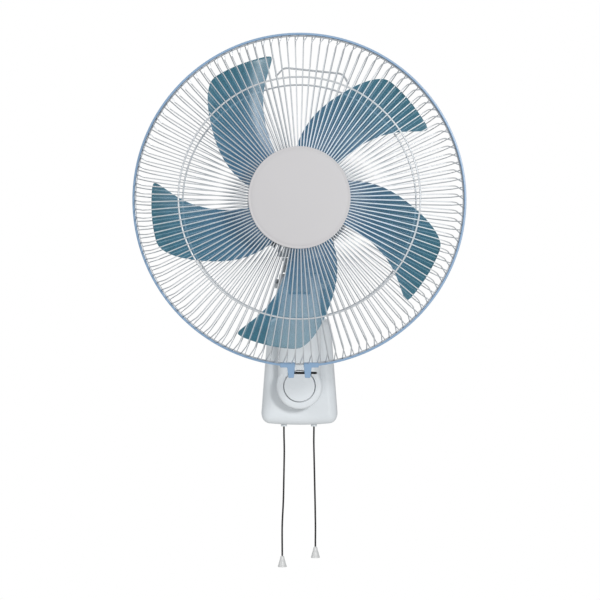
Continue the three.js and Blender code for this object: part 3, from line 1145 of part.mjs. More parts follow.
// A blade's section at one radius: down the front side and back up the rear side.
function bladeRing([share, lead, trail]) {
  const radius = share * BLADE_RADIUS;
  const pitch = THREE.MathUtils.lerp(BLADE_PITCH_ROOT, BLADE_PITCH_TIP, share);
  const chord = [0, 0.33, 0.67, 1];
  const edge = [0.4, 1, 1, 0.4];
  const side = (towards) => chord.map((s, i) => {
    const slope = -pitch * Math.cos(Math.PI * s) * 0.5 - pitch * (0.5 - s);
    const reach = BLADE_MIDDLE + slope - BLADE_CAMBER * 4 * s * (1 - s);
    const half = (BLADE_THICKNESS / 2) * edge[i] * towards;
    return onFan(radius, reach + half, THREE.MathUtils.lerp(lead, trail, s));
  });
  return [...side(1), ...side(-1).reverse()];
}

function impeller() {
  const cup = turnedRing([
    [SHAFT_BORE, HUB_REAR + 2], [10, HUB_REAR + 2], [10, HUB_FRONT - HUB_WALL],
    [HUB_RADIUS - HUB_WALL, HUB_FRONT - HUB_WALL - 6], [HUB_RADIUS - HUB_WALL, HUB_REAR],
    [HUB_RADIUS, HUB_REAR], [HUB_RADIUS, HUB_FRONT - 8], [HUB_RADIUS - 12, HUB_FRONT],
    [SHAFT_BORE, HUB_FRONT],
  ], 20);
  const inside = rod(HUB_RADIUS - HUB_WALL / 2, HUB_REAR - HUB_LENGTH, HUB_FRONT + HUB_LENGTH, 20);
  const one = cut(solid(loft(BLADE_STATIONS.map(bladeRing))), inside);
  const single = new THREE.BufferGeometry();
  const { vertProperties, triVerts } = one.getMesh();
  single.setAttribute('position', new THREE.BufferAttribute(Float32Array.from(vertProperties), 3));
  single.setIndex(new THREE.BufferAttribute(Uint32Array.from(triVerts), 1));
  const blades = Array.from({ length: BLADE_COUNT }, (_, i) =>
    single.clone().rotateY(radians(FIRST_BLADE + (360 / BLADE_COUNT) * i)));
  const notch = block(2 * 8, 2 * PIN_RADIUS + 2 * CLEAR, 2 * PIN_RADIUS + 2 * CLEAR, 0, -PIN_REACH, 0);
  const notchOpen = block(2 * 8, 8, 2 * PIN_RADIUS + 2 * CLEAR, 0, -PIN_REACH + 4, 0);
  return mesh('fan_blade', cut(join(cup, ...blades), notch, notchOpen), BLUE_BLADE);
}

function drivePin() {
  return mesh('drive_pin', crossRod(PIN_RADIUS, -7, 7, 10).translate(0, -PIN_REACH, 0), ZINC_STEEL);
}

function bladeNut() {
  const back = HUB_FRONT + CLEAR;
  const front = back + SPINNER_LENGTH;
  const body = turned([
    [SHAFT_BORE, back], [SPINNER_RADIUS, back], [SPINNER_RADIUS - 2, back + SPINNER_LENGTH * 0.5],
    [SPINNER_RADIUS - 7, front - 2], [0, front], [0, HUB_FRONT + 14], [SHAFT_BORE, HUB_FRONT + 14],
    [SHAFT_BORE, back],
  ], 16);
  return mesh('blade_nut', body, BLUE_BLADE);
}

// ---- assembly ---------------------------------------------------------------------------------------
function group(name, ...children) {
  const made = new THREE.Group();
  made.name = name;
  made.add(...children);
  return made;
}

const pulls = [['speed', SPEED_CORD_X, SPEED_ROUTE], ['swing', SWING_CORD_X, SWING_ROUTE]];

const base = group('base',
  wallPlate(), baseHousing(), ...plateScrews(), wireGrommet(), capacitor(), terminalBlock(),
  ...pulls.flatMap(([name, x]) => [switchBody(`${name}_switch`, x), eyelet(`${name}_eyelet`, x)]),
  neckArm(), neckCap(), ...neckFasteners(), ...tiltFasteners());

const pullGroups = pulls.map(([name, x, route]) => group(`${name}_pull`,
  slider(`${name}_slider`, x), cord(`${name}_cord`, route), bell(`${name}_bell`, route)));

const rotor = group('rotor', motorShaft(), rotorCore(), impeller(), drivePin(), bladeNut());

const fanAxis = group('fan_axis',
  frontBracket(), rearBracket(), statorCore(), ...bearings(), motorCover(), coverScrew(),
  coil('front_coil', STACK_FRONT + CLEAR, STACK_FRONT + CLEAR + COIL_LENGTH),
  coil('rear_coil', STACK_REAR - CLEAR, STACK_REAR - CLEAR - COIL_LENGTH),
  rearGuard(), rearHubPlate(), rearGuardNut(), guardHandle(),
  midRing('rear_guard_ring', faceReach(REAR_KNOTS, MID_RING_RADIUS), 1),
  frontGuard(), frontHubPlate(), midRing('front_guard_ring', faceReach(FRONT_KNOTS, MID_RING_RADIUS), -1),
  guardBand(), ...bandFasteners(), badge(), rotor);
fanAxis.position.z = AXIS_HEIGHT;

const head = group('swing_head', motorYoke(), swingMotor(), swingCrank(), fanAxis);
const tiltHead = group('tilt_head', tiltBracket(), ...swingFasteners(), swingLink(), head);

export default group('wall_fan', base, ...pullGroups, tiltHead);
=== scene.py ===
"""A wall mounted fan with wire guards and two pull cords, dressed around its CAD frame.

Outlines are written in millimetres as (radius or width, reach, height), where reach is the distance
from the wall; every mesh and curve is made in metres, in the frame's own place.
"""

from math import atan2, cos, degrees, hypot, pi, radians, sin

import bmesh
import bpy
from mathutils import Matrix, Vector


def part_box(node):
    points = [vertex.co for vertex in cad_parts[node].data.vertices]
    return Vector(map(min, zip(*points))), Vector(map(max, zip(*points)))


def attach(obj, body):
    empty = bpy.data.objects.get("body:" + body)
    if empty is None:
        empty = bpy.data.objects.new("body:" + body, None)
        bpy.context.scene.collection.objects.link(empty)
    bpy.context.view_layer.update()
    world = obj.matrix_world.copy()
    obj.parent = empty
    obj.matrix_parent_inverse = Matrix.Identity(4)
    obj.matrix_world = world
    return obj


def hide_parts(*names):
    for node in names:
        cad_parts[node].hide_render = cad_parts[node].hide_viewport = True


bl_info = {
    "name": "Wall Mounted Fan",
    "version": (1, 0, 0),
    "blender": (4, 5, 0),
    "location": "View3D > Sidebar > Wall Fan",
    "description": "Builds a wall mounted fan with wire guards and pull cords around its CAD frame",
    "category": "Add Mesh",
}

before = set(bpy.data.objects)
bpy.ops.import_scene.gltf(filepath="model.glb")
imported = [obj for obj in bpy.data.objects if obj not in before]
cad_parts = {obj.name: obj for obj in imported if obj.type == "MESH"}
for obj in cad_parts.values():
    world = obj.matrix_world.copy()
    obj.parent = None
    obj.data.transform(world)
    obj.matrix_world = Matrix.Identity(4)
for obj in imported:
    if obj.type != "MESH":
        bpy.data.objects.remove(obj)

MM = 0.001
X, Y, Z = 0, 1, 2
SAME_PLACE = 0.001 * MM                         # points this close are one
WAVE_LENGTH = 0.314                             # metres from ridge to ridge of a wave of scale 1


# ---- places that come from the frame, in millimetres ----
def lowest(node, axis):
    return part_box(node)[0][axis] / MM


def highest(node, axis):
    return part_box(node)[1][axis] / MM


def middle(node, axis):
    return (lowest(node, axis) + highest(node, axis)) / 2


AXIS_HEIGHT = middle("badge", Z)                # the fan's axis above the wall plate's middle
FAN_AXIS = (0, 0, AXIS_HEIGHT)
RING_REACH = -middle("guard_band", Y)           # plane where the two dishes meet
BAND_RADIUS = highest("guard_band", X)
BAND_HALF = (highest("guard_band", Y) - lowest("guard_band", Y)) / 2
BADGE_RADIUS = highest("badge", X)
BADGE_FRONT = -lowest("badge", Y)
BRACKET_LIP = 1.1                               # how far the front bracket stands out of the cover
MOTOR_FACE = -lowest("motor_cover", Y) + BRACKET_LIP
COVER_REAR = -highest("motor_cover", Y)
COVER_RADIUS = highest("motor_cover", X)
HUB_REAR = -highest("fan_blade", Y)
SPINNER_REAR = -highest("blade_nut", Y)
SPINNER_FRONT = -lowest("blade_nut", Y)
BOSS_HEIGHT = middle("neck_cap", Z)
CAP_RADIUS = highest("neck_cap", X)
CAP_REAR = -highest("neck_cap", Y)
CAP_FRONT = -lowest("neck_cap", Y)
BASE_DEPTH = -lowest("base_housing", Y)
TILT_REACH = -middle("tilt_bolt", Y)
TILT_HEIGHT = middle("tilt_bolt", Z)
CORD_REACH = -middle("speed_cord", Y)

# ---- the camera, found from the photograph ----
IMAGE_SIZE = 600                # pixels, both ways
FOCAL_PIXELS = 2223.9
SENSOR_WIDTH = 36.0
CAMERA_PLACE = (0.0008, -3.270, 0.105)          # metres

# ---- guard wires ----
HAIRPIN_RADIUS = 58                     # of the wires' turns behind the badge
HAIRPIN_BEND = 1.4
SHOULDER_RADIUS = BAND_RADIUS - 18      # where the face bends into the side wall
MID_RING_RADIUS = 160
RIM_RADIUS = 221.6
RIM_ROOM = 0.1                          # from a rim wire to the plane where the dishes meet
WIRE_END_INSET = 0.4                    # from the rim's radius
WIRE_END_LIFT = 1.5                     # from the rim's middle along the fan's direction
WELD_DEPTH = 0.1                        # how deep a ring is welded into its wires
# (radius, reach) where a face starts and where it bends
FRONT_FACE = ((HAIRPIN_RADIUS, RING_REACH + 70), (SHOULDER_RADIUS, RING_REACH + 58))
REAR_FACE = ((HAIRPIN_RADIUS, MOTOR_FACE + 3.3), (SHOULDER_RADIUS, RING_REACH - 40))
HANDLE_INSET = 42                       # from the band's radius
HANDLE_TURN = 6                         # degrees from the top
HANDLE_BEND = 2.5
# half of the handle, from its grip: x, drop and step forward
HANDLE_HALF = [(37, 0, 0), (42.5, 2.5, 4), (49.75, 15, 26)]

# ---- impeller ----
BLADE_COUNT = 5
BLADE_RADIUS = 201
BLADE_MIDDLE = RING_REACH - 10          # reach of the blades' middle
BLADE_PITCH_ROOT = 18                   # the blade's slant along the axis, at the root and the tip
BLADE_PITCH_TIP = 13
BLADE_CAMBER = 4
BLADE_COLUMNS = 18                      # steps from the leading to the trailing edge
BLADE_EDGE = 0.35                       # share of the thickness that is left at an edge
FIRST_BLADE = 61.2                      # azimuth of the first tip corner, clockwise from the top
TINT_START = 60                         # radius from which the blades turn more teal
TIP_TINT = (0.48, 0.83, 0.67, 1)        # what the tips' colour is multiplied by
# share of the blade's radius, then its leading and trailing edge in degrees from the tip corner
BLADE_STATIONS = [
    (0.19, -14, -74), (0.36, -15.4, -64), (0.55, -13.3, -52.7), (0.74, -8.5, -41),
    (0.92, -1.8, -31.2), (0.985, -0.2, -26.5), (1, -2, -23.5),
]

# ---- cords ----
# x and height of each point, from the slider down to the bell
SPEED_ROUTE = [
    (-22.5, -56.3), (-22.5, -68), (-22.5, -80), (-22.4, -92), (-22.1, -104), (-22, -116),
    (-22.2, -130), (-22.5, -146), (-22.8, -162), (-23.1, -178), (-23.6, -192), (-24.2, -204),
    (-24.8, -216), (-25.1, -228), (-25.1, -241), (-25, -253), (-24.9, -265.7),
]
SWING_ROUTE = [
    (21, -56.3), (21, -68), (21, -80), (20.9, -90), (20.8, -100), (21, -112), (21.3, -125),
    (21.6, -139), (21.9, -153), (22.2, -167), (22.5, -181), (22.8, -195), (23, -208),
    (23.2, -221), (23.2, -233), (23.1, -243), (23.1, -252.4),
]


def from_hex(code):
    """An sRGB hex value as the linear colour that the shaders work in."""
    parts = [int(code[i:i + 2], 16) / 255 for i in (1, 3, 5)]
    return [c / 12.92 if c <= 0.04045 else ((c + 0.055) / 1.055) ** 2.4 for c in parts]


# ---- what a user would change ----
class FanSizes(bpy.types.PropertyGroup):
    wire_count: bpy.props.IntProperty(
        name="Wires", description="Radial wires in each dish, two to a hairpin", default=120, min=24)
    wire_diameter: bpy.props.FloatProperty(
        name="Wire", description="Thickness of a radial wire", default=1.5 * MM, unit="LENGTH")
    wire_twist: bpy.props.FloatProperty(
        name="Twist", description="Turn of a front wire down its side wall", default=radians(1.3),
        unit="ROTATION")
    wire_bend: bpy.props.FloatProperty(
        name="Bend", description="Length of the bend between the face and the side wall",
        default=9 * MM, unit="LENGTH")
    rim_diameter: bpy.props.FloatProperty(
        name="Rim wire", description="Thickness of the rim wire under the clamp band",
        default=2.6 * MM, unit="LENGTH")
    ring_diameter: bpy.props.FloatProperty(
        name="Ring wire", description="Thickness of the reinforcing rings", default=2.4 * MM,
        unit="LENGTH")
    handle_diameter: bpy.props.FloatProperty(
        name="Handle wire", description="Thickness of the carrying handle's wire",
        default=2.8 * MM, unit="LENGTH")
    blade_thickness: bpy.props.FloatProperty(
        name="Blade", description="Thickness of a blade at its middle", default=2.4 * MM,
        unit="LENGTH")
    cord_diameter: bpy.props.FloatProperty(
        name="Cord", description="Thickness of a pull cord", default=2.5 * MM, unit="LENGTH")
    floor_size: bpy.props.FloatProperty(
        name="Floor", description="Width of the studio floor", default=6.0, unit="LENGTH")
    floor_height: bpy.props.FloatProperty(
        name="Floor height", description="Height of the studio floor", default=-1.3, unit="LENGTH")


def colour_property(name, description, code):
    return bpy.props.FloatVectorProperty(
        name=name, description=description, default=from_hex(code), size=3, min=0, max=1,
        subtype="COLOR")


class FanColours(bpy.types.PropertyGroup):
    shell: colour_property("Shell", "Base, neck and motor cover", "#D8DCDF")
    band: colour_property("Band", "Clamp band round the guard", "#819EBC")
    blade: colour_property("Blade", "Tinted impeller, near its hub", "#5E93BC")
    wire: colour_property("Wire", "Lacquered guard wires", "#C4C7CA")
    badge: colour_property("Badge", "Disc in the middle of the front guard", "#BDBBBC")
    cord: colour_property("Cord", "Pull cords", "#1B1B1B")
    bell: colour_property("Bell", "Bells on the cords", "#D6D6D5")


# ---- materials ----
def add_node(tree, kind, feeds=(), **settings):
    """Adds a node: settings are its properties, feeds are its sockets' values or sources."""
    node = tree.nodes.new(kind)
    for name, value in settings.items():
        setattr(node, name, value)
    for socket, value in dict(feeds).items():
        if isinstance(value, bpy.types.NodeSocket):
            tree.links.new(value, node.inputs[socket])
        else:
            node.inputs[socket].default_value = value
    return node


def found(material, kind):
    return next(node for node in material.node_tree.nodes if node.bl_idname == kind)


def toned(colour, factor):
    return (*[min(c * factor, 1) for c in colour], 1)


def finish(name, colour, drift, patch, grain, depth, **sockets):
    """A material whose colour drifts in patches over a fine bumped grain, both of a real size in mm."""
    material = bpy.data.materials.new(name)
    material.use_nodes = True
    tree = material.node_tree
    shader = tree.nodes["Principled BSDF"]
    for socket, value in sockets.items():
        shader.inputs[socket.replace("_", " ")].default_value = value
    place = add_node(tree, "ShaderNodeTexCoord").outputs["Object"]
    clouds = add_node(tree, "ShaderNodeTexNoise", {
        "Vector": place, "Scale": 1 / (patch * MM), "Detail": 3.0})
    tones = add_node(tree, "ShaderNodeMixRGB", {
        "Fac": clouds.outputs["Fac"], "Color1": toned(colour, 1 - drift),
        "Color2": toned(colour, 1 + drift)})
    tree.links.new(tones.outputs["Color"], shader.inputs["Base Color"])
    fine = add_node(tree, "ShaderNodeTexNoise", {
        "Vector": place, "Scale": 1 / (grain * MM), "Detail": 2.0})
    bump = add_node(tree, "ShaderNodeBump", {
        "Height": fine.outputs["Fac"], "Strength": 0.6, "Distance": depth * MM})
    tree.links.new(bump.outputs["Normal"], shader.inputs["Normal"])
    return material


def add_bands(material, spacing, depth, axis, rings=False):
    """Lays evenly spaced ridges over a finish, as turns of wire, sheets or strands have them."""
    tree = material.node_tree
    bump = found(material, "ShaderNodeBump")
    place = found(material, "ShaderNodeTexCoord")
    direction = {"rings_direction": axis} if rings else {"bands_direction": axis}
    waves = add_node(tree, "ShaderNodeTexWave", {
        "Vector": place.outputs["Object"], "Scale": WAVE_LENGTH / (spacing * MM),
        "Distortion": 0.4}, wave_type="RINGS" if rings else "BANDS", **direction)
    ridges = add_node(tree, "ShaderNodeBump", {
        "Height": waves.outputs["Fac"], "Strength": 0.8, "Distance": depth * MM,
        "Normal": bump.outputs["Normal"]})
    tree.links.new(ridges.outputs["Normal"], tree.nodes["Principled BSDF"].inputs["Normal"])
    return material


def moulded_abs(name, colour):
    # ABS, injection moulded with a fine spark texture: a soft, slightly broken highlight
    return finish(name, colour, 0.02, 60, 0.7, 0.012, Roughness=0.42, IOR=1.53)


def glossy_abs_band(colour):
    # ABS, moulded in polished tool steel and bent into a hoop: a clear highlight along its length
    return finish("glossy_blue_abs", colour, 0.05, 30, 1.5, 0.008, Roughness=0.3, IOR=1.53)


def tinted_styrene(colour):
    # styrene resin with a blue tint, moulded and polished: deep colour and gloss, and a quarter of
    # what lies behind it shows through its two faces; bluer at the hub, more teal at the tips
    material = finish("tinted_styrene", colour, 0.04, 50, 4.0, 0.01, Roughness=0.3, IOR=1.57,
                      Alpha=0.45)
    tree = material.node_tree
    shader = tree.nodes["Principled BSDF"]
    drifting = shader.inputs["Base Color"].links[0].from_socket
    place = found(material, "ShaderNodeTexCoord")
    across = add_node(tree, "ShaderNodeMapping", {
        "Vector": place.outputs["Object"], "Location": (0, 0, -AXIS_HEIGHT * MM),
        "Scale": (1, 0, 1)})
    radius = add_node(tree, "ShaderNodeVectorMath", {0: across.outputs["Vector"]},
                      operation="LENGTH")
    share = add_node(tree, "ShaderNodeMapRange", {
        "Value": radius.outputs["Value"], "From Min": TINT_START * MM,
        "From Max": BLADE_RADIUS * MM})
    tints = add_node(tree, "ShaderNodeMixRGB", {
        "Fac": share.outputs["Result"], "Color1": (1, 1, 1, 1), "Color2": TIP_TINT})
    tinted = add_node(tree, "ShaderNodeMixRGB", {
        "Fac": 1.0, "Color1": drifting, "Color2": tints.outputs["Color"]}, blend_type="MULTIPLY")
    tree.links.new(tinted.outputs["Color"], shader.inputs["Base Color"])
    return material


def lacquered_wire(colour):
    # steel wire, drawn, zinc plated and dipped in pale lacquer: light, with a bright line along it
    return finish("lacquered_steel_wire", colour, 0.04, 15, 1.2, 0.01, Roughness=0.32,
                  Metallic=0.35)


def satin_badge(colour):
    # ABS disc sprayed with fine silver lacquer: an even, soft sheen without a clear reflection
    return finish("satin_silver_lacquer", colour, 0.012, 45, 0.35, 0.006, Roughness=0.62,
                  Metallic=0.1, IOR=1.45)


def zinc_plated_steel():
    # pressed and turned steel with bright zinc: grey metal with a slightly cloudy reflection
    return finish("zinc_plated_steel", from_hex("#A9ADB0"), 0.1, 8, 0.5, 0.01, Roughness=0.36,
                  Metallic=0.95)


def blackened_steel():
    # machine screw with black oxide: dark, with a soft metal sheen
    return finish("black_oxide_steel", from_hex("#2A2A2B"), 0.1, 5, 0.4, 0.01, Roughness=0.45,
                  Metallic=0.7)


def die_cast_alloy():
    # aluminium alloy, die cast and tumbled: dull grey with a coarse skin
    return finish("die_cast_aluminium", from_hex("#9A9DA0"), 0.08, 10, 0.9, 0.04, Roughness=0.52,
                  Metallic=0.85)


def stacked_laminations():
    # silicon steel sheets, punched and stacked: dark edges in rows, drawn at twice their pitch
    material = finish("silicon_steel_sheets", from_hex("#55585B"), 0.1, 6, 0.6, 0.02,
                      Roughness=0.5, Metallic=0.7)
    return add_bands(material, 1.0, 0.08, "Y")


def wound_copper():
    # enamelled copper wire, wound: warm rows of turns with a lacquer gloss
    material = finish("enamelled_copper", from_hex("#A85F33"), 0.12, 6, 0.6, 0.02, Roughness=0.35,
                      Metallic=0.85)
    return add_bands(material, 0.9, 0.15, "Y", rings=True)


def sintered_bronze():
    # bronze bearing, sintered and soaked in oil: dark gold with fine pores
    return finish("sintered_bronze", from_hex("#A8854B"), 0.1, 4, 0.25, 0.02, Roughness=0.45,
                  Metallic=0.9)


def moulded_rubber():
    # rubber grommet: matt black with a dusty bloom
    return finish("moulded_rubber", from_hex("#232426"), 0.15, 7, 0.5, 0.02, Roughness=0.8)


def braided_nylon(colour):
    # nylon pull cord, braided and dyed black: matt, with short ridges round it
    material = finish("braided_nylon", colour, 0.2, 3, 0.4, 0.04, Roughness=0.78)
    return add_bands(material, 1.1, 0.15, "DIAGONAL")


def clear_styrene(colour):
    # milky clear styrene, moulded thin: lets light through and keeps a hard gloss
    return finish("milky_styrene", colour, 0.02, 10, 1.0, 0.008, Roughness=0.3, IOR=1.57,
                  Alpha=0.9)


def make_materials(colours):
    """One material for each material slot of the record."""
    return {
        "white_abs": moulded_abs("moulded_white_abs", colours.shell),
        "grey_abs": moulded_abs("moulded_grey_abs", from_hex("#8D9296")),
        "blue_band": glossy_abs_band(colours.band),
        "blue_blade": tinted_styrene(colours.blade),
        "wire_steel": lacquered_wire(colours.wire),
        "badge_silver": satin_badge(colours.badge),
        "zinc_steel": zinc_plated_steel(),
        "black_steel": blackened_steel(),
        "die_cast": die_cast_alloy(),
        "lamination": stacked_laminations(),
        "copper": wound_copper(),
        "bronze": sintered_bronze(),
        "rubber": moulded_rubber(),
        "black_cord": braided_nylon(colours.cord),
        "clear_plastic": clear_styrene(colours.bell),
    }


materials = {}


# ---- working tools ----
def put(name, data, body, slot, *replaced):
    """A mesh or curve as a piece of the fan: it rides on a body and takes a slot's finish."""
    piece = bpy.data.objects.new(name, data)
    bpy.context.collection.objects.link(piece)
    data.materials.append(materials[slot])
    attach(piece, body)
    if replaced:
        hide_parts(*replaced)
    return piece


def mesh_from(name, points, faces, sharp=40):
    """A closed mesh from points in mm, smooth but for edges that turn more than sharp degrees."""
    mesh = bpy.data.meshes.new(name)
    mesh.from_pydata([Vector(p) * MM for p in points], [], faces)
    work = bmesh.new()
    work.from_mesh(mesh)
    bmesh.ops.remove_doubles(work, verts=work.verts, dist=SAME_PLACE)
    bmesh.ops.dissolve_degenerate(work, edges=work.edges, dist=SAME_PLACE / 2)
    bmesh.ops.recalc_face_normals(work, faces=work.faces)
    smooth_faces(work, sharp)
    work.to_mesh(mesh)
    work.free()
    return mesh


def smooth_faces(work, sharp):
    for face in work.faces:
        face.smooth = True
    for edge in work.edges:
        edge.smooth = edge.is_manifold and edge.calc_face_angle(pi) < radians(sharp)


def rounded(points, size, steps=4, closed=False):
    """The same outline with each corner turned through a soft curve that starts size before it."""
    points = [Vector(p) for p in points]
    made = []
    for i, here in enumerate(points):
        if not closed and i in (0, len(points) - 1):
            made.append(here)
            continue
        back = points[i - 1] - here
        ahead = points[(i + 1) % len(points)] - here
        start = here + back.normalized() * min(size, 0.45 * back.length)
        end = here + ahead.normalized() * min(size, 0.45 * ahead.length)
        for k in range(steps + 1):
            t = k / steps
            made.append(start.lerp(here, t).lerp(here.lerp(end, t), t))
    return made


def flowing(points, steps):
    """Points on the smooth curve through the given ones, steps to each stretch."""
    points = [Vector(p) for p in points]
    held = [2 * points[0] - points[1], *points, 2 * points[-1] - points[-2]]
    made = []
    for i in range(len(points) - 1):
        a, b, c, d = held[i:i + 4]
        for k in range(steps):
            t = k / steps
            made.append(0.5 * ((2 * b) + (c - a) * t + (2 * a - 5 * b + 4 * c - d) * t ** 2
                               + (3 * b - a - 3 * c + d) * t ** 3))
    return [*made, points[-1]]


def turned(name, profile, steps=96, centre=FAN_AXIS, upright=False, closed=False, arc=(0, 360),
           sharp=40, swell=None):
    """A profile of (radius, reach) turned about the fan's direction, or (radius, height) upright.

    swell(angle, radius) gives another radius for each direction, for grips and scallops."""
    start, end = arc
    full = end - start >= 360
    columns = steps if full else steps + 1
    points = []
    for k in range(columns):
        angle = radians(start + (end - start) * k / steps)
        for radius, along in profile:
            out = swell(angle, radius) if swell else radius
            across, up = out * sin(angle), out * cos(angle)
            points.append(Vector(centre) + Vector((across, up, along) if upright
                                                  else (across, -along, up)))
    rows = len(profile)
    faces = []
    for k in range(steps):
        a, b = k * rows, (k + 1) % columns * rows
        for i in range(rows if closed else rows - 1):
            j = (i + 1) % rows
            faces.append((a + i, a + j, b + j, b + i))
    if closed and not full:
        faces.append(tuple(range(rows)))
        faces.append(tuple(range((columns - 1) * rows, columns * rows)))
    return mesh_from(name, points, faces, sharp)


def skin_over(rings, first=0):
    """The faces over rings that have as many points each, which are numbered on from first."""
    count = len(rings[0])
    last = first + (len(rings) - 1) * count
    faces = [tuple(range(first, first + count)), tuple(range(last, last + count))]
    for row in range(first, last, count):
        for i in range(count):
            j = (i + 1) % count
            faces.append((row + i, row + j, row + count + j, row + count + i))
    return faces


def lofted(name, rings, sharp=40):
    """A skin over rings of points, closed at both ends."""
    return mesh_from(name, [place for ring in rings for place in ring], skin_over(rings), sharp)


def front_plate(name, outline, rear, front):
    """An outline of (x, height) as a plate between two reaches."""
    return lofted(name, [[(x, -reach, z) for x, z in outline] for reach in (rear, front)])


def bevel(piece, width, segments=3):
    """Rounds a piece's sharp edges by a width in mm."""
    modifier = piece.modifiers.new("rounded_edges", "BEVEL")
    modifier.width = width * MM
    modifier.segments = segments
    modifier.limit_method = "ANGLE"
    modifier.angle_limit = radians(40)


def scratch(mesh):
    """An object that only helps to make another."""
    helper = bpy.data.objects.new(mesh.name, mesh)
    bpy.context.collection.objects.link(helper)
    return helper


def carve(helper, cutters, operation="DIFFERENCE"):
    """Cuts the cutters out of a helper, or joins them to it."""
    for cutter in cutters:
        modifier = helper.modifiers.new("carve", "BOOLEAN")
        modifier.operation = operation
        modifier.solver = "EXACT"
        modifier.object = cutter


def frozen(helper, sharp, helpers):
    """The helper's shape with its modifiers worked in; it and the other helpers are removed."""
    graph = bpy.context.evaluated_depsgraph_get()
    mesh = bpy.data.meshes.new_from_object(helper.evaluated_get(graph))
    work = bmesh.new()
    work.from_mesh(mesh)
    smooth_faces(work, sharp)
    work.to_mesh(mesh)
    work.free()
    for used in (helper, *helpers):
        bpy.data.objects.remove(used)
    return mesh


def wires(name, paths, diameter, closed=False, resolution=2):
    """Round wires along paths in mm, as one curve object's data."""
    curve = bpy.data.curves.new(name, "CURVE")
    curve.dimensions = "3D"
    curve.bevel_depth = diameter / 2
    curve.bevel_resolution = resolution
    curve.use_fill_caps = True
    for path in paths:
        spline = curve.splines.new("POLY")
        spline.points.add(len(path) - 1)
        for knot, place in zip(spline.points, path):
            knot.co = (*(Vector(place) * MM), 1)
        spline.use_cyclic_u = closed
        spline.use_smooth = True
    return curve


def on_fan(radius, reach, azimuth):
    """A point on the fan, its azimuth in degrees clockwise from the top."""
    angle = radians(azimuth)
    return Vector((radius * sin(angle), -reach, AXIS_HEIGHT + radius * cos(angle)))


def hoop(radius, reach, steps=180):
    return [on_fan(radius, reach, 360 * k / steps) for k in range(steps)]


def face_reach(face, radius):
    """Where a dish's face lies at one radius."""
    (inner, inner_reach), (outer, outer_reach) = face
    return inner_reach + (outer_reach - inner_reach) * (radius - inner) / (outer - inner)


# ---- camera ----
class FAN_OT_camera(bpy.types.Operator):
    """Puts the camera where the photograph was taken from"""
    bl_idname = "wall_fan.camera"
    bl_label = "Camera"

    def execute(self, context):
        lens = bpy.data.cameras.new("studio_camera")
        lens.sensor_width = SENSOR_WIDTH
        lens.lens = FOCAL_PIXELS / IMAGE_SIZE * SENSOR_WIDTH
        lens.clip_end = 100
        camera = bpy.data.objects.new("studio_camera", lens)
        camera.location = CAMERA_PLACE
        camera.rotation_euler = (pi / 2, 0, 0)
        context.collection.objects.link(camera)
        context.scene.camera = camera
        return {"FINISHED"}


# ---- cords ----
# (radius, drop from the top) down a bell's outside, and back up its inside
BELL_OUTSIDE = [(0, 0), (2.2, 0.3), (3.0, 2.2), (3.4, 4.6), (4.5, 8.2), (5.6, 12.4)]
BELL_INSIDE = [(3.3, 8), (2, 4.6), (0, 4)]
BELL_LIP = 0.9                  # height of the upright lip
BELL_WALL = 1.2
EYELET_BORE = 2
EYELET_NECK = 4.2
EYELET_TRIM = 1.6               # how much slimmer its flange is than the frame's
EYELET_RISE = 0.7               # flange above the frame's lowest point
EYELET_FLANGE = 1.1


class FAN_OT_cords(bpy.types.Operator):
    """Hangs the two pull cords with their bells and the eyelets that they come out of"""
    bl_idname = "wall_fan.cords"
    bl_label = "Pull cords"

    def execute(self, context):
        diameter = context.scene.fan_sizes.cord_diameter
        for name, route in (("speed", SPEED_ROUTE), ("swing", SWING_ROUTE)):
            self.hang(name, route, diameter)
        return {"FINISHED"}

    def hang(self, name, route, diameter):
        path = flowing([(x, -CORD_REACH, z) for x, z in route], 5)
        cord = put(f"{name}_pull_cord", wires(f"{name}_pull_cord", [path], diameter, resolution=4),
                   f"{name}_pull", "black_cord", f"{name}_cord")
        bell = put(f"{name}_pull_bell", self.bell(name), f"{name}_pull", "clear_plastic",
                   f"{name}_bell")
        put(f"{name}_cord_eyelet", self.eyelet(name), "base", "white_abs", f"{name}_eyelet")

    def bell(self, name):
        node = f"{name}_bell"
        bottom, top = lowest(node, Z), highest(node, Z)
        radius = highest(node, X) - middle(node, X)
        outside = flowing([*[(out, top - drop) for out, drop in BELL_OUTSIDE],
                           (radius, bottom + BELL_LIP)], 4)
        lip = rounded([(radius, bottom + BELL_LIP), (radius, bottom), (radius - BELL_WALL, bottom),
                       (radius - BELL_WALL - 0.1, bottom + 1.2)], 0.5, 3)
        inside = flowing([(radius - BELL_WALL - 0.3, bottom + 2.4),
                          *[(out, top - drop) for out, drop in BELL_INSIDE]], 4)
        centre = (middle(node, X), -CORD_REACH, 0)
        return turned(f"{name}_pull_bell", [*outside, *lip, *inside], 48, centre, upright=True)

    def eyelet(self, name):
        node = f"{name}_eyelet"
        bottom, top = lowest(node, Z), highest(node, Z)
        radius = highest(node, X) - middle(node, X)
        flange, seat = bottom + EYELET_RISE, bottom + EYELET_RISE + EYELET_FLANGE
        profile = rounded([
            (EYELET_BORE, flange), (radius - EYELET_TRIM, flange), (radius - EYELET_TRIM, seat),
            (EYELET_NECK, seat), (EYELET_NECK, top), (EYELET_BORE, top)], 0.35, 3, closed=True)
        centre = (middle(node, X), -CORD_REACH, 0)
        return turned(f"{name}_cord_eyelet", profile, 48, centre, upright=True, closed=True)


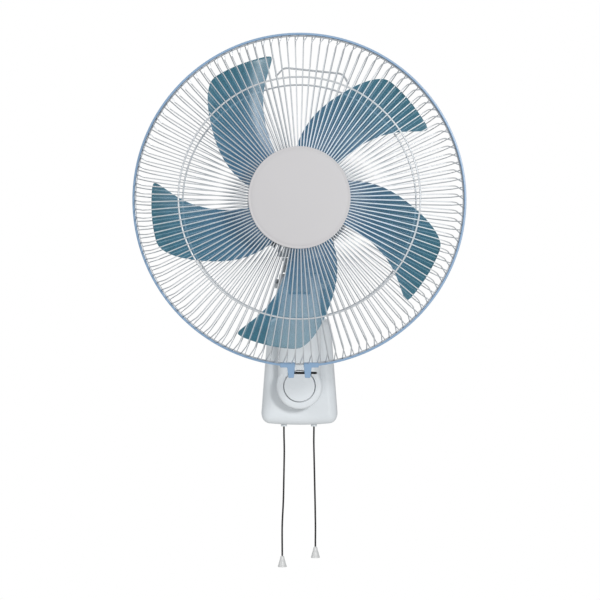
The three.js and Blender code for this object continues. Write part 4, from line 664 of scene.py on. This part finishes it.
# ---- wire guards ----
class FAN_OT_guards(bpy.types.Operator):
    """Welds the two dishes of hairpin wires, their rims and rings, and the wire handle"""
    bl_idname = "wall_fan.guards"
    bl_label = "Wire guards"

    def execute(self, context):
        sizes = context.scene.fan_sizes
        for side, face, towards in (("front", FRONT_FACE, 1), ("rear", REAR_FACE, -1)):
            self.dish(sizes, side, face, towards)
            self.ring(sizes, side, face, towards)
        self.handle(sizes)
        return {"FINISHED"}

    def dish(self, sizes, side, face, towards):
        rim_reach = RING_REACH + towards * (sizes.rim_diameter / MM / 2 + RIM_ROOM)
        twist = degrees(sizes.wire_twist) if towards > 0 else 0
        step = 360 / sizes.wire_count
        knots = [*face, (RIM_RADIUS - WIRE_END_INSET, rim_reach + towards * WIRE_END_LIFT)]

        def leg(azimuth):
            return [on_fan(radius, reach, azimuth + (twist if radius > SHOULDER_RADIUS else 0))
                    for radius, reach in knots]

        bend = sizes.wire_bend / MM
        pins = []
        for i in range(sizes.wire_count // 2):
            first = leg((2 * i + 0.5) * step)
            second = leg((2 * i + 1.5) * step)
            turn = rounded([first[1], first[0], second[0], second[1]], HAIRPIN_BEND)[1:-1]
            pins.append([*reversed(rounded(first, bend)[1:]), *turn, *rounded(second, bend)[1:]])
        put(f"{side}_wires", wires(f"{side}_wires", pins, sizes.wire_diameter), "swing_head",
            "wire_steel", f"{side}_guard")
        put(f"{side}_rim", wires(f"{side}_rim", [hoop(RIM_RADIUS, rim_reach)], sizes.rim_diameter,
                                 closed=True, resolution=3), "swing_head", "wire_steel")

    def ring(self, sizes, side, face, towards):
        inward = (sizes.wire_diameter + sizes.ring_diameter) / 2 / MM - WELD_DEPTH
        reach = face_reach(face, MID_RING_RADIUS) - towards * inward
        put(f"{side}_ring", wires(f"{side}_ring", [hoop(MID_RING_RADIUS, reach)],
                                  sizes.ring_diameter, closed=True, resolution=3),
            "swing_head", "wire_steel", f"{side}_guard_ring")

    def handle(self, sizes):
        grip = BAND_RADIUS - HANDLE_INSET
        rear = -highest("guard_handle", Y) + sizes.handle_diameter / MM / 2
        half = [(x, grip - drop, rear + forward) for x, drop, forward in HANDLE_HALF]
        knots = [(-x, z, reach) for x, z, reach in reversed(half)] + half
        path = rounded([on_fan(hypot(x, z), reach, HANDLE_TURN + degrees(atan2(x, z)))
                        for x, z, reach in knots], HANDLE_BEND)
        put("carrying_handle", wires("carrying_handle", [path], sizes.handle_diameter,
                                     resolution=4), "swing_head", "wire_steel", "guard_handle")


# ---- clamp band ----
BAND_WALL = 1.5
BAND_LIP = 3.0                  # how far its lips reach in over the rims
BAND_GAP = 11.5                 # between the two ears
EAR_END = 26                    # x of a pad's outer end
EAR_PAD = 6.6                   # height of the pad under the band
EAR_RISE = 5.7                  # pad's top over the band's lowest point
EAR_DROP = 14                   # length of the leg that the screw goes through
EAR_TOP_WIDTH = 10.7
EAR_END_WIDTH = 7.4
EAR_PROUD = 0.5                 # how far the pads stand out of the band
SCREW_START = -15.6             # x of the screw's head
SCREW_END = 24
SCREW_RADIUS = 1.7
# (radius, step from the screw's start) of its head
SCREW_HEAD = [(0, -0.2), (2.2, -0.2), (2.8, 0.6), (2.8, 2)]
THREAD_START = 2.2              # from the screw's start
THREAD_DEPTH = 0.25
THREAD_STEP = 0.35              # half of its pitch
THREAD_ROWS = 105
NUT_FACES = (13.4, 16.2)
NUT_RADIUS = 2.9
NUT_BORE = 1.75


class FAN_OT_band(bpy.types.Operator):
    """Closes the clamp band over both rims, with its two ears"""
    bl_idname = "wall_fan.band"
    bl_label = "Clamp band"

    def execute(self, context):
        put("clamp_band", self.channel(), "swing_head", "blue_band", "guard_band")
        for name, side in (("left", -1), ("right", 1)):
            ear = put(f"band_ear_{name}", self.ear(f"band_ear_{name}", side), "swing_head",
                      "blue_band")
            bevel(ear, 0.7)
        put("clamp_screw", self.screw(), "swing_head", "black_steel", "band_screw")
        put("clamp_nut", self.nut(), "swing_head", "black_steel", "band_nut")
        return {"FINISHED"}

    def channel(self):
        inner, lip = BAND_RADIUS - BAND_WALL, BAND_RADIUS - BAND_LIP
        back, front = RING_REACH - BAND_HALF, RING_REACH + BAND_HALF
        profile = rounded([
            (lip, back), (BAND_RADIUS, back), (BAND_RADIUS, front), (lip, front),
            (lip, front - BAND_WALL), (inner, front - BAND_WALL), (inner, back + BAND_WALL),
            (lip, back + BAND_WALL)], 0.7, 3, closed=True)
        half_gap = degrees(atan2(BAND_GAP / 2, BAND_RADIUS))
        return turned("clamp_band", profile, 200, closed=True,
                      arc=(180 + half_gap, 540 - half_gap))

    def ear(self, name, side):
        inner = BAND_GAP / 2
        pad_top = AXIS_HEIGHT - BAND_RADIUS + EAR_RISE
        pad_bottom = pad_top - EAR_PAD
        leg_bottom = pad_bottom - EAR_DROP
        lean = (EAR_TOP_WIDTH - EAR_END_WIDTH) / 2
        outer = inner + EAR_TOP_WIDTH
        outline = [
            (inner, pad_top), (EAR_END, pad_top), (EAR_END, pad_bottom),
            (outer, pad_bottom), (outer - lean, leg_bottom), (inner + lean, leg_bottom)]
        shape = [(side * x, z) for x, z in rounded(outline, 1.2, 3, closed=True)]
        half = BAND_HALF + EAR_PROUD
        return front_plate(name, shape, RING_REACH - half, RING_REACH + half)

    def screw(self):
        thread = [(SCREW_RADIUS - (0 if k % 2 else THREAD_DEPTH), THREAD_START + THREAD_STEP * k)
                  for k in range(THREAD_ROWS)]
        outline = [(radius, SCREW_START + step) for radius, step in [*SCREW_HEAD, *thread]]
        return self.along_x("clamp_screw", [*outline, (0, SCREW_END)])

    def nut(self):
        inner, outer = NUT_FACES
        outline = rounded([(NUT_BORE, inner), (NUT_RADIUS, inner), (NUT_RADIUS, outer),
                           (NUT_BORE, outer)], 0.4, 3, closed=True)
        return self.along_x("clamp_nut", [*outline, outline[0]], 6)

    def along_x(self, name, outline, steps=32):
        """An outline of (radius, x) turned about the clamping screw."""
        place = Vector((0, -RING_REACH, middle("band_screw", Z)))
        turns = [2 * pi * k / steps for k in range(steps)]
        rings = [[place + Vector((x, radius * cos(turn), radius * sin(turn))) for turn in turns]
                 for radius, x in outline]
        return lofted(name, rings)


# ---- badge ----
BADGE_THICKNESS = 5.2
BADGE_EDGE = 3.6                # height of the rounded edge
BADGE_GROOVE = 3.2              # height of the groove inside it
BADGE_CROWN = 1.8               # rise of the face from the groove to its middle


class FAN_OT_badge(bpy.types.Operator):
    """Sets the bare badge disc on the middle of the front guard"""
    bl_idname = "wall_fan.badge"
    bl_label = "Badge"

    def execute(self, context):
        back, rim = BADGE_FRONT - BADGE_THICKNESS, BADGE_RADIUS
        edge = rounded([(rim - 2, back), (rim, back), (rim, back + BADGE_EDGE),
                        (rim - 2, back + BADGE_EDGE)], 1.0, 5)
        groove = [(rim - 2.6, back + BADGE_GROOVE), (rim - 3.2, back + BADGE_GROOVE)]
        foot = back + BADGE_THICKNESS - BADGE_CROWN
        shares = [1 - k / 16 for k in range(17)]
        crown = [((rim - 3.6) * share, foot + BADGE_CROWN * (1 - share ** 2)) for share in shares]
        profile = [(0, back), *edge, *groove, *crown]
        put("badge_disc", turned("badge_disc", profile, 160, sharp=50), "swing_head",
            "badge_silver", "badge")
        return {"FINISHED"}


# ---- impeller ----
SHAFT_RADIUS = 4.4
HUB_RADIUS = 42
HUB_LENGTH = 44
HUB_WALL = 3
HUB_SOCKET = 10                 # outer radius of the socket for the shaft
SPINNER_RADIUS = 21
SPINNER_THREAD = 14             # depth of its threaded hole


class FAN_OT_impeller(bpy.types.Operator):
    """Moulds the five sickle blades with their hub, and the nut that holds them"""
    bl_idname = "wall_fan.impeller"
    bl_label = "Impeller"

    def execute(self, context):
        thickness = context.scene.fan_sizes.blade_thickness / MM
        put("sickle_blades", self.blades(thickness), "rotor", "blue_blade", "fan_blade")
        put("impeller_hub", self.hub(), "rotor", "blue_blade")
        put("spinner_nut", self.spinner(), "rotor", "blue_blade", "blade_nut")
        return {"FINISHED"}

    def blades(self, thickness):
        stations = flowing(BLADE_STATIONS, 7)
        points, faces = [], []
        for blade in range(BLADE_COUNT):
            azimuth = FIRST_BLADE + 360 / BLADE_COUNT * blade
            rings = [self.section(*station, azimuth, thickness) for station in stations]
            faces += skin_over(rings, len(points))
            points += [place for ring in rings for place in ring]
        return mesh_from("sickle_blades", points, faces, sharp=60)

    def section(self, share, lead, trail, azimuth, thickness):
        """The blade's skin at one radius: down the front side and back up the rear side."""
        pitch = BLADE_PITCH_ROOT + (BLADE_PITCH_TIP - BLADE_PITCH_ROOT) * share

        def side(towards):
            made = []
            for k in range(BLADE_COLUMNS + 1):
                s = k / BLADE_COLUMNS
                slope = -pitch * cos(pi * s) * 0.5 - pitch * (0.5 - s)
                reach = BLADE_MIDDLE + slope - BLADE_CAMBER * 4 * s * (1 - s)
                edge = min(1.0, BLADE_EDGE + 6 * min(s, 1 - s))
                half = thickness / 2 * edge * towards
                angle = azimuth + lead + (trail - lead) * s
                made.append(on_fan(share * BLADE_RADIUS, reach + half, angle))
            return made

        return [*side(1), *reversed(side(-1))]

    def hub(self):
        front, inside = HUB_REAR + HUB_LENGTH, HUB_RADIUS - HUB_WALL
        profile = rounded([
            (SHAFT_RADIUS, HUB_REAR + 2), (HUB_SOCKET, HUB_REAR + 2), (HUB_SOCKET, front - HUB_WALL),
            (inside, front - HUB_WALL - 6), (inside, HUB_REAR), (HUB_RADIUS, HUB_REAR),
            (HUB_RADIUS, front - 8), (HUB_RADIUS - 12, front), (SHAFT_RADIUS, front)],
            2.2, closed=True)
        return turned("impeller_hub", profile, 96, closed=True)

    def spinner(self):
        rear, front = SPINNER_REAR, SPINNER_FRONT
        outside = rounded([(SPINNER_RADIUS, rear), (SPINNER_RADIUS, rear + 3), (19.6, rear + 12),
                           (14.5, front - 3), (0, front)], 4, 5)
        hole_end = rear + SPINNER_THREAD
        profile = [(SHAFT_RADIUS, rear), *outside, (0, hole_end), (SHAFT_RADIUS, hole_end),
                   (SHAFT_RADIUS, rear)]
        return turned("spinner_nut", profile, 72)


# ---- base ----
BASE_TOP_WIDTH = 91
BASE_BOTTOM_WIDTH = 114
BASE_TOP = 79
BASE_BOTTOM = -75
BASE_BOW = 2                    # how far the lower edge bows down in its middle
BASE_CORNER = 14
BASE_ROUND = 13                 # rounding between the front and the sides
BASE_DRAFT = 1.5
BASE_WALL = 2.5
BASE_REAR = 0.5                 # open rear edge, from the wall
BASE_BREAK = 0.6                # its broken edge
CORNER_STEPS = 9


def base_ring(inset, reach):
    """The housing's outline at one depth: a trapezoid with round corners and a bowed lower edge."""
    slope = (BASE_BOTTOM_WIDTH - BASE_TOP_WIDTH) / 2 / (BASE_TOP - BASE_BOTTOM)
    top, bottom = BASE_TOP - inset, BASE_BOTTOM + inset
    radius = max(BASE_CORNER - inset, 2)

    def half(height):
        return BASE_TOP_WIDTH / 2 + (BASE_TOP - height) * slope - inset

    def corner(x, height, start):
        turns = [radians(start + 90 * k / CORNER_STEPS) for k in range(CORNER_STEPS + 1)]
        return [(x + radius * cos(turn), height + radius * sin(turn)) for turn in turns]

    top_side = half(top - radius) - radius
    bottom_side = half(bottom + radius) - radius
    outline = [
        *corner(top_side, top - radius, 0), *corner(-top_side, top - radius, 90),
        *corner(-bottom_side, bottom + radius, 180),
        *[(bottom_side * k / 6, bottom) for k in range(-5, 6)],
        *corner(bottom_side, bottom + radius, 270),
    ]

    def bowed(x, height):
        if height > 0:
            return height
        drop = BASE_BOW * height / BASE_BOTTOM * (1 - (x / bottom_side) ** 2)
        return height - max(drop, 0)

    return [(x, -reach, bowed(x, height)) for x, height in outline]


class FAN_OT_base(bpy.types.Operator):
    """Moulds the base housing that hangs on the wall plate"""
    bl_idname = "wall_fan.base"
    bl_label = "Base"

    def execute(self, context):
        turns = [radians(90 * k / CORNER_STEPS) for k in range(CORNER_STEPS + 1)]
        outside = [(BASE_DRAFT + BASE_ROUND * (1 - cos(turn)),
                    BASE_DEPTH - BASE_ROUND * (1 - sin(turn))) for turn in turns]
        rings = [base_ring(BASE_WALL + inset, reach - BASE_WALL)
                 for inset, reach in reversed(outside)]
        rings += [base_ring(BASE_WALL, BASE_REAR), base_ring(BASE_BREAK, BASE_REAR),
                  base_ring(0, BASE_REAR + BASE_BREAK)]
        rings += [base_ring(inset, reach) for inset, reach in outside]
        put("wall_base", lofted("wall_base", rings, sharp=50), "base", "white_abs",
            "base_housing")
        return {"FINISHED"}


# ---- neck ----
# shares of the way from the boss to the top: up, and out from the wall
ARM_STATIONS = [(0, 0), (0.27, 0), (0.48, 0.09), (0.69, 0.35), (0.86, 0.66), (1, 1)]
ARM_TOP_SET = 4                 # the arm's end from the tilt bolt, down and back
NECK_WIDTH = 61
NECK_TOP_WIDTH = 58
NECK_THICKNESS = 34
NARROW_FROM = 0.6               # share of the arm from which it narrows
SECTION_ROUND = 0.42            # corner radius of its section, as a share of the thickness
KNUCKLE_RADIUS = 14
TONGUE_SLOT = 30                # width of the fork's slot
TONGUE_ROOM = 2
SLOT_RISE = 40
BOSS_RADIUS = 33
BOSS_REAR = BASE_DEPTH + 0.3
BOSS_FRONT = BOSS_REAR + 32
CAP_ROOM = 1.3                  # dark gap round the cap
CAP_BED = 0.3                   # room behind it
CAP_FACE = 3                    # width of the cap's rim
BLEND_VOXEL = 1.1


class FAN_OT_neck(bpy.types.Operator):
    """Moulds the neck arm with its round boss and the forked top, and the cap over its bolt"""
    bl_idname = "wall_fan.neck"
    bl_label = "Neck"

    def execute(self, context):
        put("neck_moulding", self.arm(), "base", "white_abs", "neck_arm")
        put("boss_cap", self.cap(), "base", "white_abs", "neck_cap")
        return {"FINISHED"}

    def arm(self):
        helper = scratch(self.bar())
        boss = scratch(self.boss())
        knuckle = scratch(self.cross_bar("knuckle", KNUCKLE_RADIUS, NECK_TOP_WIDTH))
        carve(helper, [boss, knuckle], "UNION")
        blend = helper.modifiers.new("blend", "REMESH")
        blend.mode = "VOXEL"
        blend.voxel_size = BLEND_VOXEL * MM
        soften = helper.modifiers.new("soften", "SMOOTH")
        soften.factor = 0.6
        soften.iterations = 9
        slot = scratch(self.cross_bar("slot", KNUCKLE_RADIUS + TONGUE_ROOM, TONGUE_SLOT, SLOT_RISE))
        wide, bed, clear = CAP_RADIUS + CAP_ROOM, CAP_REAR - CAP_BED, BOSS_FRONT + 3.2
        seat = scratch(turned("seat", [(0, bed), (wide, bed), (wide, clear), (0, clear)], 96,
                              (0, 0, BOSS_HEIGHT)))
        carve(helper, [slot, seat])
        return frozen(helper, 50, (boss, knuckle, slot, seat))

    def bar(self):
        foot = Vector((0, -(BOSS_REAR + NECK_THICKNESS / 2), BOSS_HEIGHT))
        top = Vector((0, ARM_TOP_SET - TILT_REACH, TILT_HEIGHT - ARM_TOP_SET))
        knots = [(0, foot.y + (top.y - foot.y) * out, foot.z + (top.z - foot.z) * up)
                 for up, out in ARM_STATIONS]
        path = flowing(knots, 5)
        rings = []
        for i, place in enumerate(path):
            along = path[min(i + 1, len(path) - 1)] - path[max(i - 1, 0)]
            share = max(0, (i / (len(path) - 1) - NARROW_FROM) / (1 - NARROW_FROM))
            narrowing = share * share * (3 - 2 * share)
            width = NECK_WIDTH + (NECK_TOP_WIDTH - NECK_WIDTH) * narrowing
            thickness = NECK_THICKNESS + (2 * KNUCKLE_RADIUS - NECK_THICKNESS) * narrowing
            rings.append(self.bar_section(place, atan2(-along.y, along.z), width, thickness))
        return lofted("bar", rings)

    def bar_section(self, place, lean, width, thickness):
        radius = SECTION_ROUND * thickness
        x, y = width / 2 - radius, thickness / 2 - radius
        section = []
        for side_x, side_y, start in ((1, -1, -90), (1, 1, 0), (-1, 1, 90), (-1, -1, 180)):
            for k in range(7):
                turn = radians(start + 15 * k)
                across = side_x * x + radius * cos(turn)
                deep = side_y * y + radius * sin(turn)
                section.append(place + Vector((across, deep * cos(lean), deep * sin(lean))))
        return section

    def boss(self):
        profile = rounded([
            (0, BOSS_REAR), (BOSS_RADIUS - 1.5, BOSS_REAR), (BOSS_RADIUS, BOSS_REAR + 8),
            (BOSS_RADIUS, BOSS_FRONT), (0, BOSS_FRONT)], 4.5, 5)
        return turned("boss", profile, 96, (0, 0, BOSS_HEIGHT))

    def cross_bar(self, name, radius, width, rise=0):
        """A round bar along X at the tilt bolt, opened upwards where rise is set."""
        outline = [(TILT_REACH + radius * cos(radians(a)), TILT_HEIGHT + radius * sin(radians(a)))
                   for a in range(-180, 1 if rise else 180, 6)]
        if rise:
            outline = [*outline, (TILT_REACH + radius, TILT_HEIGHT + rise),
                       (TILT_REACH - radius, TILT_HEIGHT + rise)]
        rings = [[(x, -reach, z) for reach, z in outline] for x in (-width / 2, width / 2)]
        return lofted(name, rings)

    def cap(self):
        rim, face = CAP_FRONT - 0.5, CAP_RADIUS - CAP_FACE
        edge = rounded([(CAP_RADIUS, CAP_REAR), (CAP_RADIUS, rim), (face, rim + 0.05)], 1.0)
        shares = [1 - k / 8 for k in range(1, 9)]
        dome = [(face * share, rim + 0.05 + 0.4 * (1 - share ** 2)) for share in shares]
        return turned("boss_cap", [(0, CAP_REAR), *edge, *dome], 96, (0, 0, BOSS_HEIGHT))


# ---- motor housing ----
COVER_LENGTH = 111
COVER_WALL = 2.2
SIDE_FROM = 62                  # radius from which the skin is the cover's side and not its back
# inset from the cover's radius and distance from its back, from the open front to the round back
COVER_OUTLINE = [(0, 109.89), (1, 72), (3, 34.41), (11, 12.21), (26, 2.22)]
POST_RADIUS = 8                 # screw post inside the back
POST_LENGTH = 18
POST_HOLE = 2.3
VENT_COUNT = 8
VENT_INNER = 17
VENT_MARGIN = 28                # from the cover's radius
VENT_WIDTH = 5
DOOR_ROOM = (3.3, 1.7)          # beside the yoke and above the swing motor
DOOR_REAR = 9                   # from the cover's back
NUT_OPENING = 18.4
NUT_GRIPS = 8
NUT_GRIP_DEPTH = 1.6


class FAN_OT_motor(bpy.types.Operator):
    """Moulds the motor cover with its vents, and the nut that holds the rear guard"""
    bl_idname = "wall_fan.motor"
    bl_label = "Motor housing"

    def execute(self, context):
        put("motor_shell", self.cover(), "swing_head", "white_abs", "motor_cover")
        put("guard_ring_nut", self.guard_nut(), "swing_head", "grey_abs", "rear_guard_nut")
        return {"FINISHED"}

    def cover(self):
        skin = flowing([*[(COVER_RADIUS - inset, COVER_REAR + along)
                          for inset, along in COVER_OUTLINE], (6, COVER_REAR)], 6)
        inner = [(max(radius - COVER_WALL, POST_HOLE),
                  reach + COVER_WALL * (0.2 if radius > SIDE_FROM else 1))
                 for radius, reach in reversed(skin[1:])]
        post_end = COVER_REAR + POST_LENGTH
        post = [(POST_HOLE, COVER_REAR), (POST_HOLE, post_end), (POST_RADIUS, post_end),
                (POST_RADIUS, COVER_REAR + COVER_WALL + 2)]
        profile = [*skin, *post, *inner[2:], (COVER_RADIUS - COVER_WALL, skin[0].y)]
        helper = scratch(turned("shell", profile, 120, closed=True))
        cutters = [scratch(self.vent(i)) for i in range(VENT_COUNT)]
        cutters.append(scratch(self.door()))
        carve(helper, cutters)
        return frozen(helper, 45, cutters)

    def vent(self, i):
        """One radial slot with round ends in the back of the cover."""
        half = VENT_WIDTH / 2
        outer = COVER_RADIUS - VENT_MARGIN
        ends = [(half * cos(radians(a)), outer + half * (sin(radians(a)) - 1))
                for a in range(0, 181, 20)]
        ends += [(half * cos(radians(a)), VENT_INNER + half * (sin(radians(a)) + 1))
                 for a in range(180, 361, 20)]
        azimuth = 360 / VENT_COUNT * (i + 0.5)
        rings = [[on_fan(hypot(x, out), reach, azimuth + degrees(atan2(x, out)))
                  for x, out in ends] for reach in (COVER_REAR - 1, COVER_REAR + 9)]
        return lofted(f"vent_{i}", rings)

    def door(self):
        """The opening below, where the swing drive and the yoke come out."""
        beside, above = DOOR_ROOM
        half = highest("motor_yoke", X) + beside
        top = highest("swing_motor", Z) + above
        outline = rounded([(-half, top), (half, top), (half, top - COVER_RADIUS),
                           (-half, top - COVER_RADIUS)], 3, closed=True)
        rear = COVER_REAR + DOOR_REAR
        return front_plate("door", outline, rear, rear + COVER_LENGTH)

    def guard_nut(self):
        back, front = -highest("rear_guard_nut", Y), -lowest("rear_guard_nut", Y)
        radius = highest("rear_guard_nut", X)
        profile = rounded([(NUT_OPENING, back), (radius, back), (radius - 2, front),
                           (NUT_OPENING, front)], 1.0, 3, closed=True)

        def scalloped(angle, out):
            if out <= radius - 5:
                return out
            return out - NUT_GRIP_DEPTH * max(0, cos(NUT_GRIPS * angle)) ** 3

        return turned("guard_ring_nut", profile, 160, closed=True, swell=scalloped)


# ---- what stays as the frame has it ----
EDGE_ROUNDING = 0.35
# these are replaced and heavy, so their edges are left alone
SHARP_NODES = ("front_guard", "rear_guard", "fan_blade")


class FAN_OT_hardware(bpy.types.Operator):
    """Gives every part of the frame that still shows its real finish and broken edges"""
    bl_idname = "wall_fan.hardware"
    bl_label = "Hardware"

    def execute(self, context):
        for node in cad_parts.values():
            for slot in node.material_slots:
                name = slot.material.name.split(".")[0]
                if name not in materials:
                    raise RuntimeError(f"{node.name} has an unknown finish: {name}")
                slot.material = materials[name]
            if node.name not in SHARP_NODES:
                bevel(node, EDGE_ROUNDING, 2)
        return {"FINISHED"}


# ---- stage ----
# name, place and width in metres, power in watts
LIGHTS = [
    ("key_light", (1.05, -3.4, 0.75), 0.6, 60),
    ("fill_light", (-2.2, -2.0, 1.2), 1.8, 18),
    ("back_light", (-0.6, 1.8, 1.6), 1.6, 20),
]
LIGHT_AIM = Vector((0, -0.2, 0.15))
PAPER = ((1, 1, 1, 1), 1.0)                     # what the camera sees behind the fan
UNLIT = ((1, 1, 1, 1), 0.04)                    # what clear parts are seen against
DAYLIGHT = ((0.95, 0.975, 1, 1), 0.5)           # what lights the fan from all round


class FAN_OT_stage(bpy.types.Operator):
    """Lays the pale floor and sets the soft studio lights"""
    bl_idname = "wall_fan.stage"
    bl_label = "Stage"

    def execute(self, context):
        sizes = context.scene.fan_sizes
        self.floor(context, sizes.floor_size / 2, sizes.floor_height)
        for light in LIGHTS:
            self.light(context, *light)
        self.world(context)
        context.scene.view_settings.view_transform = "Standard"
        return {"FINISHED"}

    def floor(self, context, half, height):
        mesh = bpy.data.meshes.new("studio_floor")
        corners = [(-half, -half, height), (half, -half, height), (half, half, height),
                   (-half, half, height)]
        mesh.from_pydata(corners, [], [(0, 1, 2, 3)])
        # matt painted board: pale and even
        mesh.materials.append(finish("painted_board", from_hex("#EDEDEB"), 0.01, 400, 4, 0.02,
                                     Roughness=0.85))
        floor = bpy.data.objects.new("studio_floor", mesh)
        context.collection.objects.link(floor)

    def light(self, context, name, place, size, power):
        lamp = bpy.data.lights.new(name, "AREA")
        lamp.shape = "DISK"
        lamp.size = size
        lamp.energy = power
        light = bpy.data.objects.new(name, lamp)
        light.location = place
        aim = LIGHT_AIM - Vector(place)
        light.rotation_euler = aim.to_track_quat("-Z", "Y").to_euler()
        context.collection.objects.link(light)

    def world(self, context):
        world = bpy.data.worlds.new("studio")
        world.use_nodes = True
        tree = world.node_tree
        tree.nodes.clear()
        paper, unlit, daylight = [
            add_node(tree, "ShaderNodeBackground", {"Color": colour, "Strength": strength})
            for colour, strength in (PAPER, UNLIT, DAYLIGHT)]
        rays = add_node(tree, "ShaderNodeLightPath")
        behind = add_node(tree, "ShaderNodeMath", {0: rays.outputs["Transparent Depth"], 1: 0.5},
                          operation="GREATER_THAN")
        shown = add_node(tree, "ShaderNodeMixShader", {
            "Fac": behind.outputs["Value"], 1: paper.outputs["Background"],
            2: unlit.outputs["Background"]})
        both = add_node(tree, "ShaderNodeMixShader", {
            "Fac": rays.outputs["Is Camera Ray"], 1: daylight.outputs["Background"],
            2: shown.outputs["Shader"]})
        add_node(tree, "ShaderNodeOutputWorld", {"Surface": both.outputs["Shader"]})
        context.scene.world = world


# ---- panel and registering ----
class FAN_PT_panel(bpy.types.Panel):
    bl_idname = "FAN_PT_panel"
    bl_label = "Wall Mounted Fan"
    bl_space_type = "VIEW_3D"
    bl_region_type = "UI"
    bl_category = "Wall Fan"

    def draw(self, context):
        for operator in OPERATORS:
            self.layout.operator(operator.bl_idname)
        for group in (context.scene.fan_sizes, context.scene.fan_colours):
            column = self.layout.column()
            for name in group.bl_rna.properties.keys():
                if name not in ("rna_type", "name"):
                    column.prop(group, name)


# in the order in which they run
OPERATORS = (
    FAN_OT_camera, FAN_OT_cords, FAN_OT_guards, FAN_OT_band, FAN_OT_badge, FAN_OT_impeller,
    FAN_OT_base, FAN_OT_neck, FAN_OT_motor, FAN_OT_hardware, FAN_OT_stage,
)
CLASSES = (FanSizes, FanColours, *OPERATORS, FAN_PT_panel)


def register():
    for kind in CLASSES:
        bpy.utils.register_class(kind)
    bpy.types.Scene.fan_sizes = bpy.props.PointerProperty(type=FanSizes)
    bpy.types.Scene.fan_colours = bpy.props.PointerProperty(type=FanColours)


def unregister():
    del bpy.types.Scene.fan_colours
    del bpy.types.Scene.fan_sizes
    for kind in reversed(CLASSES):
        bpy.utils.unregister_class(kind)


def main():
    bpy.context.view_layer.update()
    register()
    materials.update(make_materials(bpy.context.scene.fan_colours))
    for operator in OPERATORS:
        group, name = operator.bl_idname.split(".")
        getattr(getattr(bpy.ops, group), name)()


if __name__ == "__main__":
    main()
